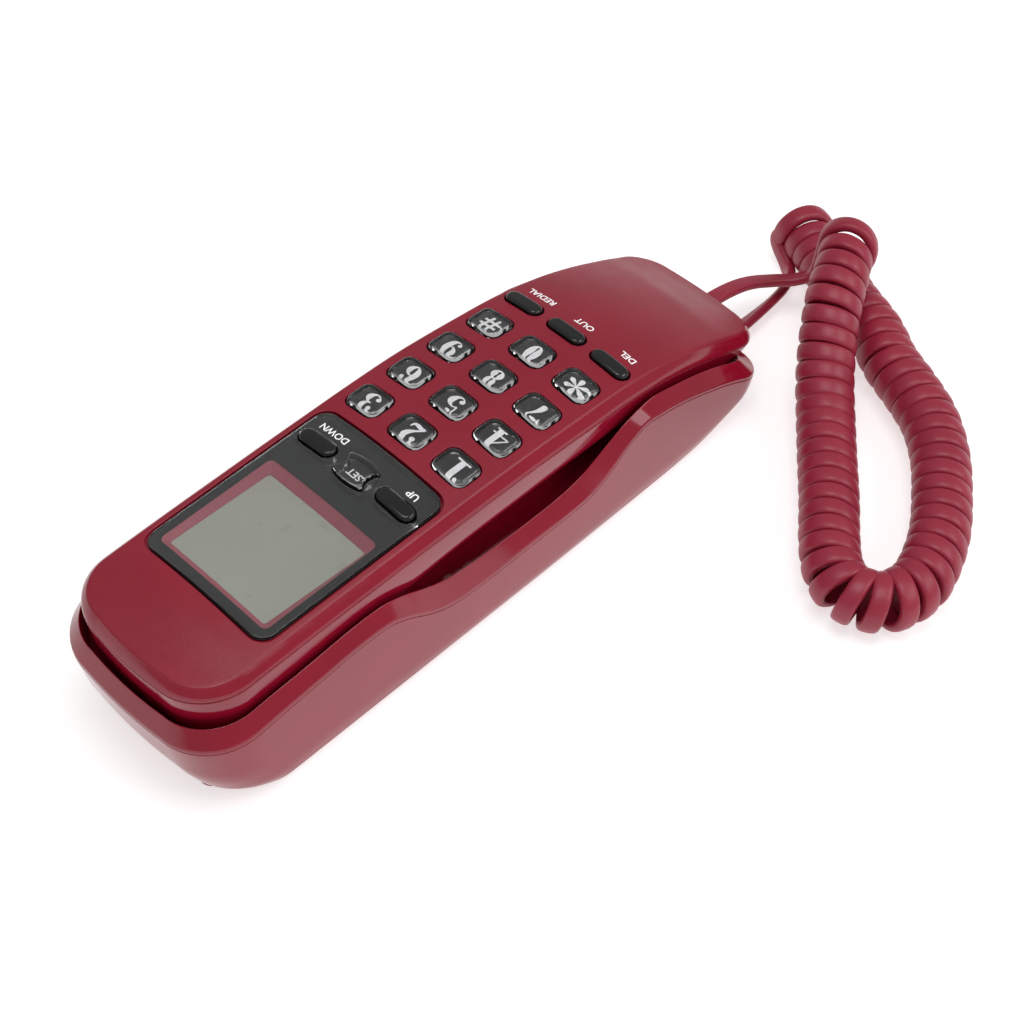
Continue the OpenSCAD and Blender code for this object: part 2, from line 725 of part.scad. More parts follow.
module wall_slot(y) {
  post(0, y - slot_travel, slot_head_r, 0, 6);
  block(-slot_neck_r, slot_neck_r, y - slot_travel, y + slot_neck_r, 0, 6);
}

module base_bottom_shell() {
  color(shell_red)
    difference() {
      union() {
        difference() {
          skin(tub_rings);
          skin(tub_in_rings);
        }
        for (s = [-1, 1]) {
          post(s * foot_top_x, foot_top_y, foot_r, 0, foot_h + 1.5);
          post(s * foot_low_x, foot_low_y, foot_r, 0, foot_h + 1);
        }
        for (p = base_screws_xy)
          post(p[0], p[1], boss_r, foot_h + 0.5, 7.8);
        for (x = [-16, 16], y = [base_board_low + 4, base_board_high - 4])
          post(x, y, 2, foot_h + 1, base_board_z - 0.05);
      }
      for (y = slot_seat_y)
        wall_slot(y);
      for (p = base_screws_xy) {
        post(p[0], p[1], screw_r + 0.25, 0, 10);
        post(p[0], p[1], screw_head_r + 0.2, 0, foot_h + screw_head_t + 0.6);
      }
      for (a = [0:45:359])
        post(6 * cos(a), ringer_y + 6 * sin(a), 1, 0, 6);
      block(base_jack_x - 5, base_jack_x + 5, base_jack_y - 0.2, base_jack_y + jack_l + 0.2, 3.2, 12);
      block(line_jack_x - 6, line_jack_x + 6, base_jack_y - 0.2, base_jack_y + jack_l + 0.2, 3.2, 12);
      for (x = [base_jack_x, line_jack_x])
        block(x - 4.6, x + 4.6, -96, base_jack_y, 0, base_jack_z + plug_t / 2 + 0.2);
    }
}

module base_screws() {
  seat = foot_h + screw_head_t + 0.6;
  color(steel)
    for (p = base_screws_xy) {
      post(p[0], p[1], screw_head_r, seat - screw_head_t, seat);
      post(p[0], p[1], screw_r - 0.1, seat - 0.1, seat + 9);
    }
}

module base_board() {
  color(board_green)
    block(-base_board_half, base_board_half, base_board_low, base_board_high,
      base_board_z, base_board_z + board_t);
}

module ringer() {
  color(key_black)
    post(0, ringer_y, ringer_r, base_board_z + board_t + 0.05, base_board_z + board_t + ringer_t);
}

module hook_plunger() {
  color(key_black) {
    block(-hook_w / 2, hook_w / 2, hook_y - hook_l / 2, hook_y + hook_l / 2, hook_low_z, hook_top_z);
    block(-hook_w / 2 - hook_collar, hook_w / 2 + hook_collar, hook_y - hook_l / 2 - 0.4,
      hook_y + hook_l / 2 + 0.4, hook_low_z, hook_low_z + hook_collar);
  }
}

module hook_spring() {
  color(steel)
    difference() {
      post(0, hook_y, 1.9, base_board_z + board_t + 0.1, hook_low_z - 0.1);
      post(0, hook_y, 1.3, base_board_z, hook_low_z + 1);
    }
}

module hook_switch() {
  color(key_black)
    difference() {
      block(-5, 5, hook_y - 3.4, hook_y + 3.4, base_board_z + board_t + 0.05, hook_low_z - 0.6);
      post(0, hook_y, 2.1, base_board_z, hook_low_z + 1);
    }
}

// Cord
module coil_cord() {
  color(cord_red)
    tube(coil_route, coil_d, coil_d, 12);
}

module lead_handset() {
  color(cord_red)
    tube(lead_hand_route, lead_w, lead_t, 8);
}

module lead_base() {
  color(cord_red)
    tube(lead_base_route, lead_w, lead_t, 8);
}

base_top_shell();
base_bottom_shell();
base_screws();
base_board();
ringer();
hook_plunger();
hook_spring();
hook_switch();
base_cord_jack();
line_jack();
base_plug();
handset_front_shell();
handset_rear_shell();
handset_screws();
lens_panel();
display_frame();
display_glass();
display_connector();
display_board();
key_board();
key_membrane();
receiver();
receiver_gasket();
microphone();
microphone_boot();
handset_jack();
handset_plug();
number_key(0, 0);  // key_1
number_key(1, 0);  // key_2
number_key(2, 0);  // key_3
number_key(0, 1);  // key_4
number_key(1, 1);  // key_5
number_key(2, 1);  // key_6
number_key(0, 2);  // key_7
number_key(1, 2);  // key_8
number_key(2, 2);  // key_9
number_key(0, 3);  // key_star
number_key(1, 3);  // key_0
number_key(2, 3);  // key_hash
function_key(0);  // key_del
function_key(1);  // key_out
function_key(2);  // key_redial
menu_key(-1);  // key_up
menu_key(0);  // key_set
menu_key(1);  // key_down
coil_cord();
lead_handset();
lead_base();
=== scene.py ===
"""Looks of a slimline corded wall phone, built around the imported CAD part."""
import math

import bmesh
import bpy
import numpy as np
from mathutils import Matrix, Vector
from mathutils.geometry import delaunay_2d_cdt


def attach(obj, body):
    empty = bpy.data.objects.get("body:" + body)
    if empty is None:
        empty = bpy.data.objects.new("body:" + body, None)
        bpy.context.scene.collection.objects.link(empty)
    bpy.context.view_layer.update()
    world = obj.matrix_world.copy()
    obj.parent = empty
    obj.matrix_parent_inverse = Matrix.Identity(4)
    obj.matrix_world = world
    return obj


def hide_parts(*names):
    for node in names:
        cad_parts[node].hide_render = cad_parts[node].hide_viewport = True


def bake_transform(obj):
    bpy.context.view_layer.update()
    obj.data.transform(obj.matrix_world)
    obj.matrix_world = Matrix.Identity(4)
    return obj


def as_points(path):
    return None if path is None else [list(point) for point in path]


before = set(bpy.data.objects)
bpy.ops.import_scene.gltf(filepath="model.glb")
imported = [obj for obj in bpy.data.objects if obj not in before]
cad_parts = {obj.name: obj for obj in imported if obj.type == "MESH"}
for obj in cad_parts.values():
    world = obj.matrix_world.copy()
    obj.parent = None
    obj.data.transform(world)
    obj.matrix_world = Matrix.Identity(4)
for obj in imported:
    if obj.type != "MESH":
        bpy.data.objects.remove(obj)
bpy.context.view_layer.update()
MM = 0.001

# ---- camera
CAM_AT = Vector((-0.26671, 0.23934, 0.4419))
CAM_BACK = Vector((-0.4507, 0.4499, 0.771))
cam_data = bpy.data.cameras.new("camera")
cam_data.lens = 78.76
cam_data.sensor_width = 36
cam_data.clip_start = 0.01
cam_data.clip_end = 20
camera = bpy.data.objects.new("camera", cam_data)
camera.location = CAM_AT
camera.rotation_euler = (-CAM_BACK).to_track_quat("-Z", "Y").to_euler()
bpy.context.scene.collection.objects.link(camera)
bpy.context.scene.camera = camera
bpy.context.scene.view_settings.view_transform = "Standard"

# ---- heights along the phone, mm
# each table runs from y = -100 to y = 100: every 10 mm, and every 5 mm for the rim
TABLE_END = 100
crease_z = [17.8, 21.8, 26.6, 31.0, 34.6, 37.2, 39.0, 40.1, 41.1, 41.9, 42.3,
            42.5, 42.5, 42.5, 42.4, 42.3, 42.2, 42.0, 41.7, 41.2, 40.8]
seam_z = [15.6, 18.8, 23.0, 27.4, 31.0, 33.7, 35.4, 36.6, 37.6, 38.4, 38.7,
          38.8, 38.9, 39.0, 39.0, 38.9, 38.8, 38.6, 38.3, 37.8, 37.0]
back_z = [14.6, 14.2, 13.8, 14.8, 17.6, 22.0, 24.6, 25.6, 26.2, 26.6, 26.8,
          26.8, 26.4, 25.2, 22.6, 20.2, 19.2, 19.0, 19.0, 19.2, 19.6]
floor_z = [11.8, 12.2, 12.4, 13.6, 15.0, 16.4, 17.0, 17.0, 17.0, 17.0, 17.0,
           17.0, 17.0, 17.0, 17.2, 17.5, 17.8, 18.0, 18.0, 18.1, 18.4]
under_z = [10.8, 8.8, 4.6, 2.0, 1.25, 1.2, 1.2, 1.2, 1.2, 1.2, 1.2,
           1.2, 1.2, 1.2, 1.2, 1.2, 1.2, 1.2, 1.2, 1.2, 1.2]
rim_out_z = [11.6, 11.8, 13.2, 15.6, 18.4, 20.9, 23.0, 25.0, 26.8, 28.2, 29.2,
             29.8, 28.0, 24.2, 20.9, 19.0, 18.4, 18.2, 18.2, 18.2, 18.2,
             18.1, 18.1, 18.3, 18.8, 20.2, 22.8, 26.2, 28.8, 29.7, 29.8,
             29.6, 29.1, 28.6, 28.1, 27.6, 27.0, 26.4, 25.8, 25.4, 25.0]
rim_in_z = [12.9, 12.9, 14.6, 19.0, 22.0, 24.6, 26.8, 28.7, 30.3, 31.8, 33.0,
            32.6, 31.2, 29.0, 26.6, 24.4, 23.3, 22.9, 22.8, 22.9, 23.0,
            23.2, 23.5, 24.0, 24.8, 26.4, 28.8, 31.4, 33.2, 33.8, 33.8,
            33.5, 33.0, 32.6, 32.3, 32.0, 31.6, 31.2, 30.8, 30.3, 30.0]


def at(y, t):
    """A table's height at y, by a Catmull-Rom curve."""
    step = 2 * TABLE_END / (len(t) - 1)
    u = min(max((y + TABLE_END) / step, 0), len(t) - 1.001)
    i = int(u)
    f = u - i
    a, b, c, d = t[max(i - 1, 0)], t[i], t[i + 1], t[min(i + 2, len(t) - 1)]
    return b + 0.5 * f * (c - a + f * (2 * a - 5 * b + 4 * c - d + f * (3 * (b - c) + d - a)))


def level(z):
    """The same height everywhere."""
    return lambda x, y: z


def above(height, d):
    return lambda x, y: height(x, y) + d


def section(table, d=0.0):
    """A table as a height over the plan, d above it."""
    return lambda x, y: at(y, table) + d


def between(low, high, share, d=0.0):
    """A height that is a share of the way from one table to another, and d above that."""
    return lambda x, y: at(y, low) + share * (at(y, high) - at(y, low)) + d


CROWN, FACE_HALF, FACE_TOP, FACE_LOW, FADE = 1.9, 23.1, 93.1, -98.3, 14
inner_z = between(seam_z, crease_z, 0.25)


def face_z(x, y):
    """The handset's face: a low crown that fades out at both ends."""
    e = min(1, (FACE_TOP - y) / FADE, (y - FACE_LOW) / FADE)
    return at(y, crease_z) + CROWN * (1 - (x / FACE_HALF) ** 2) * max(0, e)


BOW_N, ARC_N, SIDE_N = 10, 12, 130


def outline(w, low_w, top_y, low_y, r, low_r, bow=3.2, low_bow=1.6):
    """A closed loop round the phone, from the middle of the display end down the +X side and back."""
    cx = w - r
    cy = top_y - bow * (cx / w) ** 2 - r
    lx = low_w - low_r
    ly = low_y + low_bow * (lx / low_w) ** 2 + low_r
    half = [(cx * i / BOW_N, top_y - bow * (cx * i / BOW_N / w) ** 2) for i in range(BOW_N)]
    for i in range(ARC_N + 1):
        a = math.radians(90 - 90 * i / ARC_N)
        half.append((cx + r * math.cos(a), cy + r * math.sin(a)))
    for i in range(1, SIDE_N):
        t = i / SIDE_N
        k = (max(0, t - 0.5) / 0.5) ** 1.5
        half.append((w + (low_w - w) * k, cy + (ly - cy) * t))
    for i in range(ARC_N + 1):
        a = math.radians(-90 * i / ARC_N)
        half.append((lx + low_r * math.cos(a), ly + low_r * math.sin(a)))
    for i in range(BOW_N - 1, -1, -1):
        x = lx * i / BOW_N
        half.append((x, low_y + low_bow * (x / low_w) ** 2))
    return half + [(-x, y) for x, y in half[-2:0:-1]]


def ring(loop, height):
    """A plan loop at its heights."""
    return [(x, y, height(x, y)) for x, y in loop]


def eased(plan, height, soft, steps, out=-1):
    """Rings over a rounded edge, from its flat side round to its wall; out is 1 where the plan is a hole."""
    rows = []
    for i in range(steps + 1):
        a = math.radians(90 * i / steps)
        rows.append(ring(plan(out * soft * (1 - math.sin(a))), above(height, -soft * (1 - math.cos(a)))))
    return rows


def rrect(cx, cy, w, l, r, grow=0.0, arc=6, edge=1.6, sides=None):
    """A rounded rectangle as a closed loop with the same number of points whatever its growth.
    A side has a point about every edge mm, or as many steps as sides says."""
    nx, ny = (sides or max(1, round((length - 2 * r) / edge)) for length in (w, l))
    w2, l2, rr = w / 2 + grow, l / 2 + grow, max(r + grow, 0.02)
    pts = []
    for q, (sx, sy, n) in enumerate(((1, 1, nx), (-1, 1, ny), (-1, -1, nx), (1, -1, ny))):
        c = (sx * (w2 - rr), sy * (l2 - rr))
        for i in range(arc + 1):
            a = math.radians(90 * q + 90 * i / arc)
            pts.append((c[0] + rr * math.cos(a), c[1] + rr * math.sin(a)))
        a = pts[-1]
        nsx, nsy = ((-1, 1), (-1, -1), (1, -1), (1, 1))[q]
        turn = math.radians(90 * q + 90)
        b = (nsx * (w2 - rr) + rr * math.cos(turn), nsy * (l2 - rr) + rr * math.sin(turn))
        for i in range(1, n):
            pts.append((a[0] + (b[0] - a[0]) * i / n, a[1] + (b[1] - a[1]) * i / n))
    return [(cx + x, cy + y) for x, y in pts]


def circle(cx, cy, r, grow=0.0, n=24):
    turns = [2 * math.pi * i / n for i in range(n)]
    return [(cx + (r + grow) * math.cos(a), cy + (r + grow) * math.sin(a)) for a in turns]


SET_W, SET_L, SET_PINCH, SET_BOW = 10.4, 8.0, 1.5, 1.2


def set_plan(cx, cy, grow=0.0, n=12):
    """The middle menu key: bowed ends and drawn-in sides."""
    w, l = SET_W / 2 + grow, SET_L / 2 + grow
    pts = []
    for q in range(4):
        s = 1 if q < 2 else -1
        for i in range(n):
            t = (i + 0.5 - n / 2) / (n / 2)
            if q % 2 == 0:
                pts.append((s * (w - SET_PINCH * (1 - t * t)), s * t * (l - SET_BOW)))
            else:
                pts.append((-s * t * (w - 0.35), s * (l - SET_BOW * 0.8 * t * t)))
    return [(cx + x, cy + y) for x, y in pts]


def inside(px, py, loop):
    """Which points lie in a closed loop."""
    a = np.array(loop, float)[:, :2]
    b = np.roll(a, -1, axis=0)
    hit = np.zeros(len(px), bool)
    for (x0, y0), (x1, y1) in zip(a, b):
        if y0 == y1:
            continue
        crosses = ((y0 > py) != (y1 > py)) & (px < (x1 - x0) * (py - y0) / (y1 - y0) + x0)
        hit ^= crosses
    return hit


HOLE_STEPS = 4
MERGE, SLIVER = 2e-7, 1e-8


class Form:
    """A mesh under construction, in millimetres."""

    def __init__(self):
        self.v, self.f, self.m = [], [], []

    def add(self, pts, faces, mat=0):
        base = len(self.v)
        self.v += [tuple(p) for p in pts]
        self.f += [tuple(base + i for i in f) for f in faces]
        self.m += [mat] * len(faces)

    def wall(self, a, b, mat=0):
        n = len(a)
        self.add(list(a) + list(b), [(i, (i + 1) % n, n + (i + 1) % n, n + i) for i in range(n)], mat)

    def skin(self, rows, mat=0):
        """Walls through a list of rings."""
        for a, b in zip(rows, rows[1:]):
            self.wall(a, b, mat)

    def block(self, rows, top, low, top_step, low_step, mat=0):
        """A closed body: a sheet over the first ring, walls, and a sheet under the last."""
        self.sheet(rows[0], [], top, mat, top_step)
        self.skin(rows, mat)
        self.sheet(rows[-1], [], low, mat, low_step)

    def loft(self, levels, fillets, mats=0, arc=4):
        """Walls through rings of the same count, each inner ring rounded by its fillet radius."""
        lv = np.array(levels, float)
        rows, kinds = [lv[0]], []
        for j in range(1, len(lv)):
            mat = mats[j - 1] if isinstance(mats, (list, tuple)) else mats
            here = lv[j]
            if j < len(lv) - 1 and fillets[j] > 0:
                back, on = lv[j - 1] - here, lv[j + 1] - here
                lb = np.linalg.norm(back, axis=1, keepdims=True) + 1e-9
                lo = np.linalg.norm(on, axis=1, keepdims=True) + 1e-9
                p = here + back * np.minimum(fillets[j] / lb, 0.48)
                q = here + on * np.minimum(fillets[j] / lo, 0.48)
                for i in range(arc + 1):
                    t = i / arc
                    rows.append((1 - t) ** 2 * p + 2 * t * (1 - t) * here + t * t * q)
                    kinds.append(mat)
            else:
                rows.append(here)
                kinds.append(mat)
        for a, b, kind in zip(rows, rows[1:], kinds):
            self.wall(a.tolist(), b.tolist(), kind)

    def sheet(self, outer, holes, height, mat=0, step=2.2):
        """A triangulated sheet inside a loop and round its holes; loops are 3-D points on the sheet."""
        loops = [outer] + list(holes)
        pts, edges = [], []
        for loop in loops:
            base, n = len(pts), len(loop)
            pts += [Vector((p[0], p[1])) for p in loop]
            edges += [(base + i, base + (i + 1) % n) for i in range(n)]
        flat = np.array([(p.x, p.y) for p in pts])
        lo, hi = flat.min(0), flat.max(0)
        gx, gy = np.meshgrid(*(np.arange(a + step / 2, b, step) for a, b in zip(lo, hi)))
        gx[1::2] += step / 2
        gx, gy = gx.ravel(), gy.ravel()
        ok = inside(gx, gy, outer)
        for h in holes:
            ok &= ~inside(gx, gy, h)
        gx, gy = gx[ok], gy[ok]
        if len(gx):
            near = np.array([((flat - (x, y)) ** 2).sum(1).min() for x, y in zip(gx, gy)])
            ok = near > (0.5 * step) ** 2
            gx, gy = gx[ok], gy[ok]
        fixed = len(pts)
        pts += [Vector((x, y)) for x, y in zip(gx, gy)]
        where = [p for loop in loops for p in loop]
        out_v, _, out_f, origin, _, _ = delaunay_2d_cdt(pts, edges, [], 0, 1e-6)
        solid = []
        for v, src in zip(out_v, origin):
            named = [s for s in src if s < fixed]
            solid.append(tuple(where[named[0]]) if named else (v.x, v.y, height(v.x, v.y)))
        tri = np.array([f for f in out_f], int)
        xy = np.array([(v.x, v.y) for v in out_v])
        mid = xy[tri].mean(1)
        ok = inside(mid[:, 0], mid[:, 1], outer)
        for h in holes:
            ok &= ~inside(mid[:, 0], mid[:, 1], h)
        self.add(solid, tri[ok].tolist(), mat)

    def hole(self, plan, top, bottom, soft=0.25, mat=0, wall_mat=None):
        """The rounded wall of a hole: plan(grow) gives its loop. Returns its edge loops on both sheets."""
        rows = eased(plan, top, soft, HOLE_STEPS, 1)
        self.skin(rows, mat)
        low = ring(plan(0), bottom)
        self.wall(rows[-1], low, mat if wall_mat is None else wall_mat)
        return rows[0], low

    def low_hole(self, plan, outer, inner, soft, mouths, insides):
        """A hole through a wall whose outer side faces down; its edge loops join the two lists."""
        rows = [ring(plan(soft), outer), ring(plan(0), above(outer, soft)), ring(plan(0), inner)]
        self.skin(rows)
        mouths.append(rows[0])
        insides.append(rows[2])

    def cap(self, loop, mat=0):
        """A fan over a small loop."""
        c = np.array(loop, float).mean(0)
        n = len(loop)
        self.add(list(loop) + [tuple(c)], [(i, (i + 1) % n, n) for i in range(n)], mat)

    def make(self, name, body, mats, replaces=(), slot=None, sharp=40, weighted=True):
        mesh = bpy.data.meshes.new(name)
        mesh.from_pydata([(x * MM, y * MM, z * MM) for x, y, z in self.v], [], self.f)
        for m in mats:
            mesh.materials.append(m)
        mesh.polygons.foreach_set("material_index", self.m)
        bm = bmesh.new()
        bm.from_mesh(mesh)
        bmesh.ops.remove_doubles(bm, verts=bm.verts, dist=MERGE)
        bmesh.ops.dissolve_degenerate(bm, edges=bm.edges, dist=SLIVER)
        bmesh.ops.recalc_face_normals(bm, faces=bm.faces)
        bm.to_mesh(mesh)
        bm.free()
        mesh.shade_smooth()
        mesh.set_sharp_from_angle(angle=math.radians(sharp))
        obj = bpy.data.objects.new(name, mesh)
        bpy.context.scene.collection.objects.link(obj)
        if weighted:
            mod = obj.modifiers.new("normals", "WEIGHTED_NORMAL")
            mod.keep_sharp = True
            mod.weight = 60
        if isinstance(body, str):
            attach(obj, body)
        else:
            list(body)
            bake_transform(obj)
        if replaces:
            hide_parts(*replaces)
        return obj


# ---- materials
def new_material(name, **values):
    m = bpy.data.materials.new(name)
    m.use_nodes = True
    shader = m.node_tree.nodes["Principled BSDF"]
    for key, value in values.items():
        shader.inputs[key.replace("_", " ")].default_value = value
    return m, m.node_tree, shader


def node(tree, kind, **settings):
    n = tree.nodes.new(kind)
    for k, v in settings.items():
        if hasattr(n, k):
            setattr(n, k, v)
        else:
            n.inputs[k.replace("_", " ")].default_value = v
    return n


def noise(tree, scale, detail=2.0, rough=0.5):
    coord = node(tree, "ShaderNodeTexCoord")
    tex = node(tree, "ShaderNodeTexNoise", Scale=scale, Detail=detail, Roughness=rough)
    tree.links.new(coord.outputs["Object"], tex.inputs["Vector"])
    return tex.outputs["Fac"]


NOISE_SPAN = (0.3, 0.7)


def vary(tree, shader, socket, fac, low, high):
    """Steers a socket between two values by a noise."""
    if socket == "Base Color":
        ramp = node(tree, "ShaderNodeValToRGB")
        for element, place, colour in zip(ramp.color_ramp.elements, NOISE_SPAN, (low, high)):
            element.position, element.color = place, (*colour, 1)
        tree.links.new(fac, ramp.inputs["Fac"])
        tree.links.new(ramp.outputs["Color"], shader.inputs[socket])
    else:
        r = node(tree, "ShaderNodeMapRange", To_Min=low, To_Max=high, From_Min=NOISE_SPAN[0],
                 From_Max=NOISE_SPAN[1])
        tree.links.new(fac, r.inputs["Value"])
        tree.links.new(r.outputs["Result"], shader.inputs[socket])


def bump(tree, shader, fac, strength, distance):
    b = node(tree, "ShaderNodeBump", Strength=strength, Distance=distance)
    tree.links.new(fac, b.inputs["Height"])
    tree.links.new(b.outputs["Normal"], shader.inputs["Normal"])


def plastic(name, low, high, rough, grain=None, spread=60, rough_var=0.03, **more):
    """A moulded surface between two colours; grain is its bump's scale, strength and depth in metres."""
    m, t, s = new_material(name, IOR=1.5, **more)
    vary(t, s, "Base Color", noise(t, spread), low, high)
    vary(t, s, "Roughness", noise(t, 240, 3), rough - rough_var, rough + rough_var)
    if grain:
        bump(t, s, noise(t, grain[0], 3, 0.6), grain[1], grain[2])
    return m


RED_LOW, RED_HIGH = (0.250, 0.0035, 0.019), (0.280, 0.005, 0.023)
red_grain = plastic("red_grained", RED_LOW, RED_HIGH, 0.36, grain=(2600, 0.6, 0.00007))
red_gloss = plastic("red_gloss", RED_LOW, RED_HIGH, 0.10, grain=(160, 0.12, 0.00006))
cord_red = plastic("cord_red", (0.29, 0.012, 0.036), (0.33, 0.017, 0.044), 0.42,
                   grain=(900, 0.25, 0.00005), spread=90)
key_black = plastic("key_black", (0.006, 0.006, 0.007), (0.009, 0.009, 0.010), 0.14,
                    grain=(1500, 0.08, 0.00002))
black_satin = plastic("black_satin", (0.008, 0.008, 0.009), (0.013, 0.013, 0.014), 0.45,
                      grain=(1800, 0.2, 0.00003))
# The display surround is painted lighter than its own pink: painted light, standing in for the lamp light that
# the clear lens keeps from it.
pink_frame_brightened = plastic("display_surround", (0.52, 0.12, 0.16), (0.56, 0.14, 0.18), 0.4,
                     grain=(900, 0.1, 0.00001))
# The display cell is painted lighter than its own grey-green: painted light, standing in for the lamp light
# that the clear lens keeps from it.
lcd_brightened = plastic("liquid_crystal", (0.54, 0.55, 0.46), (0.58, 0.59, 0.50), 0.3,
              grain=(300, 0.05, 0.00001), spread=25)
# The white print glows a little: painted light on it, mostly standing in for the lamp light that the clear caps
# keep from the legends under them.
glowing_white_ink = plastic("glowing_white_ink", (0.88, 0.88, 0.89), (0.93, 0.93, 0.94), 0.5, spread=900,
                    Emission_Color=(1, 1, 1, 1), Emission_Strength=0.18)
board_mat = plastic("board_green", (0.02, 0.12, 0.05), (0.03, 0.16, 0.07), 0.45,
                    grain=(700, 0.2, 0.00005), spread=700)
rubber_mat = plastic("grey_rubber", (0.05, 0.05, 0.052), (0.07, 0.07, 0.072), 0.7,
                     grain=(1200, 0.3, 0.00005))
steel_mat = plastic("zinc_steel", (0.55, 0.55, 0.56), (0.66, 0.66, 0.67), 0.3,
                    grain=(1400, 0.2, 0.00003), Metallic=1.0)
brass_mat = plastic("gold_contact", (0.75, 0.5, 0.18), (0.82, 0.56, 0.22), 0.25, Metallic=1.0)


def clear(name, tint, rough):
    m, t, s = new_material(name, IOR=1.49, Transmission_Weight=1.0)
    vary(t, s, "Base Color", noise(t, 120), tint, tuple(min(1, c * 1.01) for c in tint))
    vary(t, s, "Roughness", noise(t, 300), rough, rough + 0.01)
    return m


clear_cap = clear("clear_cap", (0.97, 0.975, 0.98), 0.01)
clear_lens = clear("clear_lens", (0.93, 0.94, 0.94), 0.005)
clear_plug = clear("clear_plug", (0.9, 0.92, 0.91), 0.03)


# ---- the cord
def unit(v):
    return v / max(np.linalg.norm(v), 1e-12)


def spline(points, n):
    """A Catmull-Rom curve through points, with n steps between each two."""
    p = np.array(points, float)
    p = np.vstack([2 * p[0] - p[1], p, 2 * p[-1] - p[-2]])
    out = []
    for i in range(1, len(p) - 2):
        for k in range(n):
            t = k / n
            out.append(0.5 * (2 * p[i] + (p[i + 1] - p[i - 1]) * t
                              + (2 * p[i - 1] - 5 * p[i] + 4 * p[i + 1] - p[i + 2]) * t * t
                              + (3 * p[i] - p[i - 1] - 3 * p[i + 1] + p[i + 2]) * t ** 3))
    out.append(p[-2])
    return np.array(out)


def along(line):
    return np.concatenate([[0], np.cumsum(np.linalg.norm(np.diff(line, axis=0), axis=1))])


# the coil's middle line, with its first few points dropping from the free end to the table
COIL_ROUTE = [
    (-20.3, -134.6, 23), (-24, -128, 24), (-30, -117, 21.5), (-36, -108, 16.5), (-42, -100.5, 12),
    (-49, -93, 8.8), (-58, -83, 7.9), (-67, -73, 7.9), (-75, -63.5, 7.9), (-81.5, -57, 7.9),
    (-88, -54, 7.9), (-94.5, -55.5, 7.9), (-98.2, -59.3, 7.9), (-99.7, -67.3, 7.9), (-97.2, -76.3, 7.9),
    (-92.7, -85.3, 7.9), (-86.2, -94.3, 7.9), (-78.2, -103.8, 7.9), (-68.7, -111.8, 7.9),
    (-58.7, -116.8, 7.9), (-47.7, -121.3, 7.9), (-38, -127, 7.9), (-26, -131.5, 7.9), (-14, -137, 7.9),
    (-4, -141.5, 7.9), (1.9, -143.6, 7.9)]
LEAD_HAND = [(-2.5, -86.3, 15.9), (-2.5, -92, 15.2), (-2.5, -97, 15), (-2.5, -102, 14.4),
             (-2.4, -107, 13.2), (-2.8, -112, 12), (-4, -116.5, 10.9), (-7, -121, 10.4),
             (-10.8, -125.4, 10.4), (-13.6, -129.2, 12.4)]
LEAD_BASE = [(-9, -76.5, 5.8), (-9, -81, 5.5), (-9, -87, 5.2), (-9, -92, 4.9), (-8.9, -97, 4.5),
             (-8.7, -102, 4), (-8.4, -107, 3.8), (-8.2, -112, 3.7), (-7.9, -117, 3.5),
             (-7.4, -122, 3.3), (-6.4, -127, 3.0), (-4.2, -131.8, 2.6), (-0.6, -134.8, 2.7)]
COIL_R, TURN_PITCH, TURN_STEPS = 6.3, 5.15, 36
STRIP_W, STRIP_T = 5.0, 2.9
LEAD_W, LEAD_T = 4.7, 2.6
ROUTE_STEPS, LEAD_STEPS = 14, 8
LEAD_JOINS = 3.2  # a lead lines up with its coil this far before it
PLUG_POINT = 6  # a point of the line near the handset's plug; it goes into the tuple handed to the lead, which does not move it
FLARE, NECK, FLARE_LONG, NECK_AT = 0.10, 0.05, 3.5, 8
COIL_REST = 0.25

axis = spline(COIL_ROUTE, ROUTE_STEPS)
run = along(axis)
# the strand meets the first turn going up and leaves the last one going down, so it never kinks
turns = round(run[-1] / TURN_PITCH) + 0.5
steps = int(turns * TURN_STEPS)
mark = np.linspace(0, run[-1], steps + 1)
axis = np.stack([np.interp(mark, run, axis[:, k]) for k in range(3)], axis=1)
tangent = np.gradient(axis, axis=0)
tangent /= np.linalg.norm(tangent, axis=1, keepdims=True)
side_v = [unit(np.cross(tangent[0], (0, 0, 1)))]
for t in tangent[1:]:
    v = side_v[-1] - t * side_v[-1].dot(t)
    side_v.append(unit(v))
side_v = np.array(side_v)
up_v = np.cross(side_v, tangent)
phase = np.arange(steps + 1) * 2 * math.pi / TURN_STEPS
# the last turn stands a little wide at each free end, and the next ones a little tight
from_end = np.minimum(mark, run[-1] - mark)
flare = (1 + FLARE * np.exp(-(from_end / FLARE_LONG) ** 2)
         - NECK * np.exp(-((from_end - NECK_AT) / FLARE_LONG) ** 2))
normal = side_v * np.cos(phase)[:, None] + up_v * np.sin(phase)[:, None]
axis[:, 2] += COIL_R * (flare - 1) + COIL_REST
helix = axis + normal * (COIL_R * flare)[:, None]


def carried(path, w0, w1):
    """A width direction carried along a path from w0, its twist eased out to meet w1 at the end."""
    t = np.gradient(path, axis=0)
    t /= np.linalg.norm(t, axis=1, keepdims=True)
    w = [unit(w0 - t[0] * t[0].dot(w0))]
    for d in t[1:]:
        w.append(unit(w[-1] - d * w[-1].dot(d)))
    w = np.array(w)
    goal = unit(w1 - t[-1] * t[-1].dot(w1))
    if goal.dot(w[-1]) < 0:
        goal = -goal
    angle = math.atan2(np.cross(w[-1], goal).dot(t[-1]), w[-1].dot(goal))
    share = along(path) / along(path)[-1]
    share = share * share * (3 - 2 * share)
    turn = (angle * share)[:, None]
    return w * np.cos(turn) + np.cross(t, w) * np.sin(turn), share


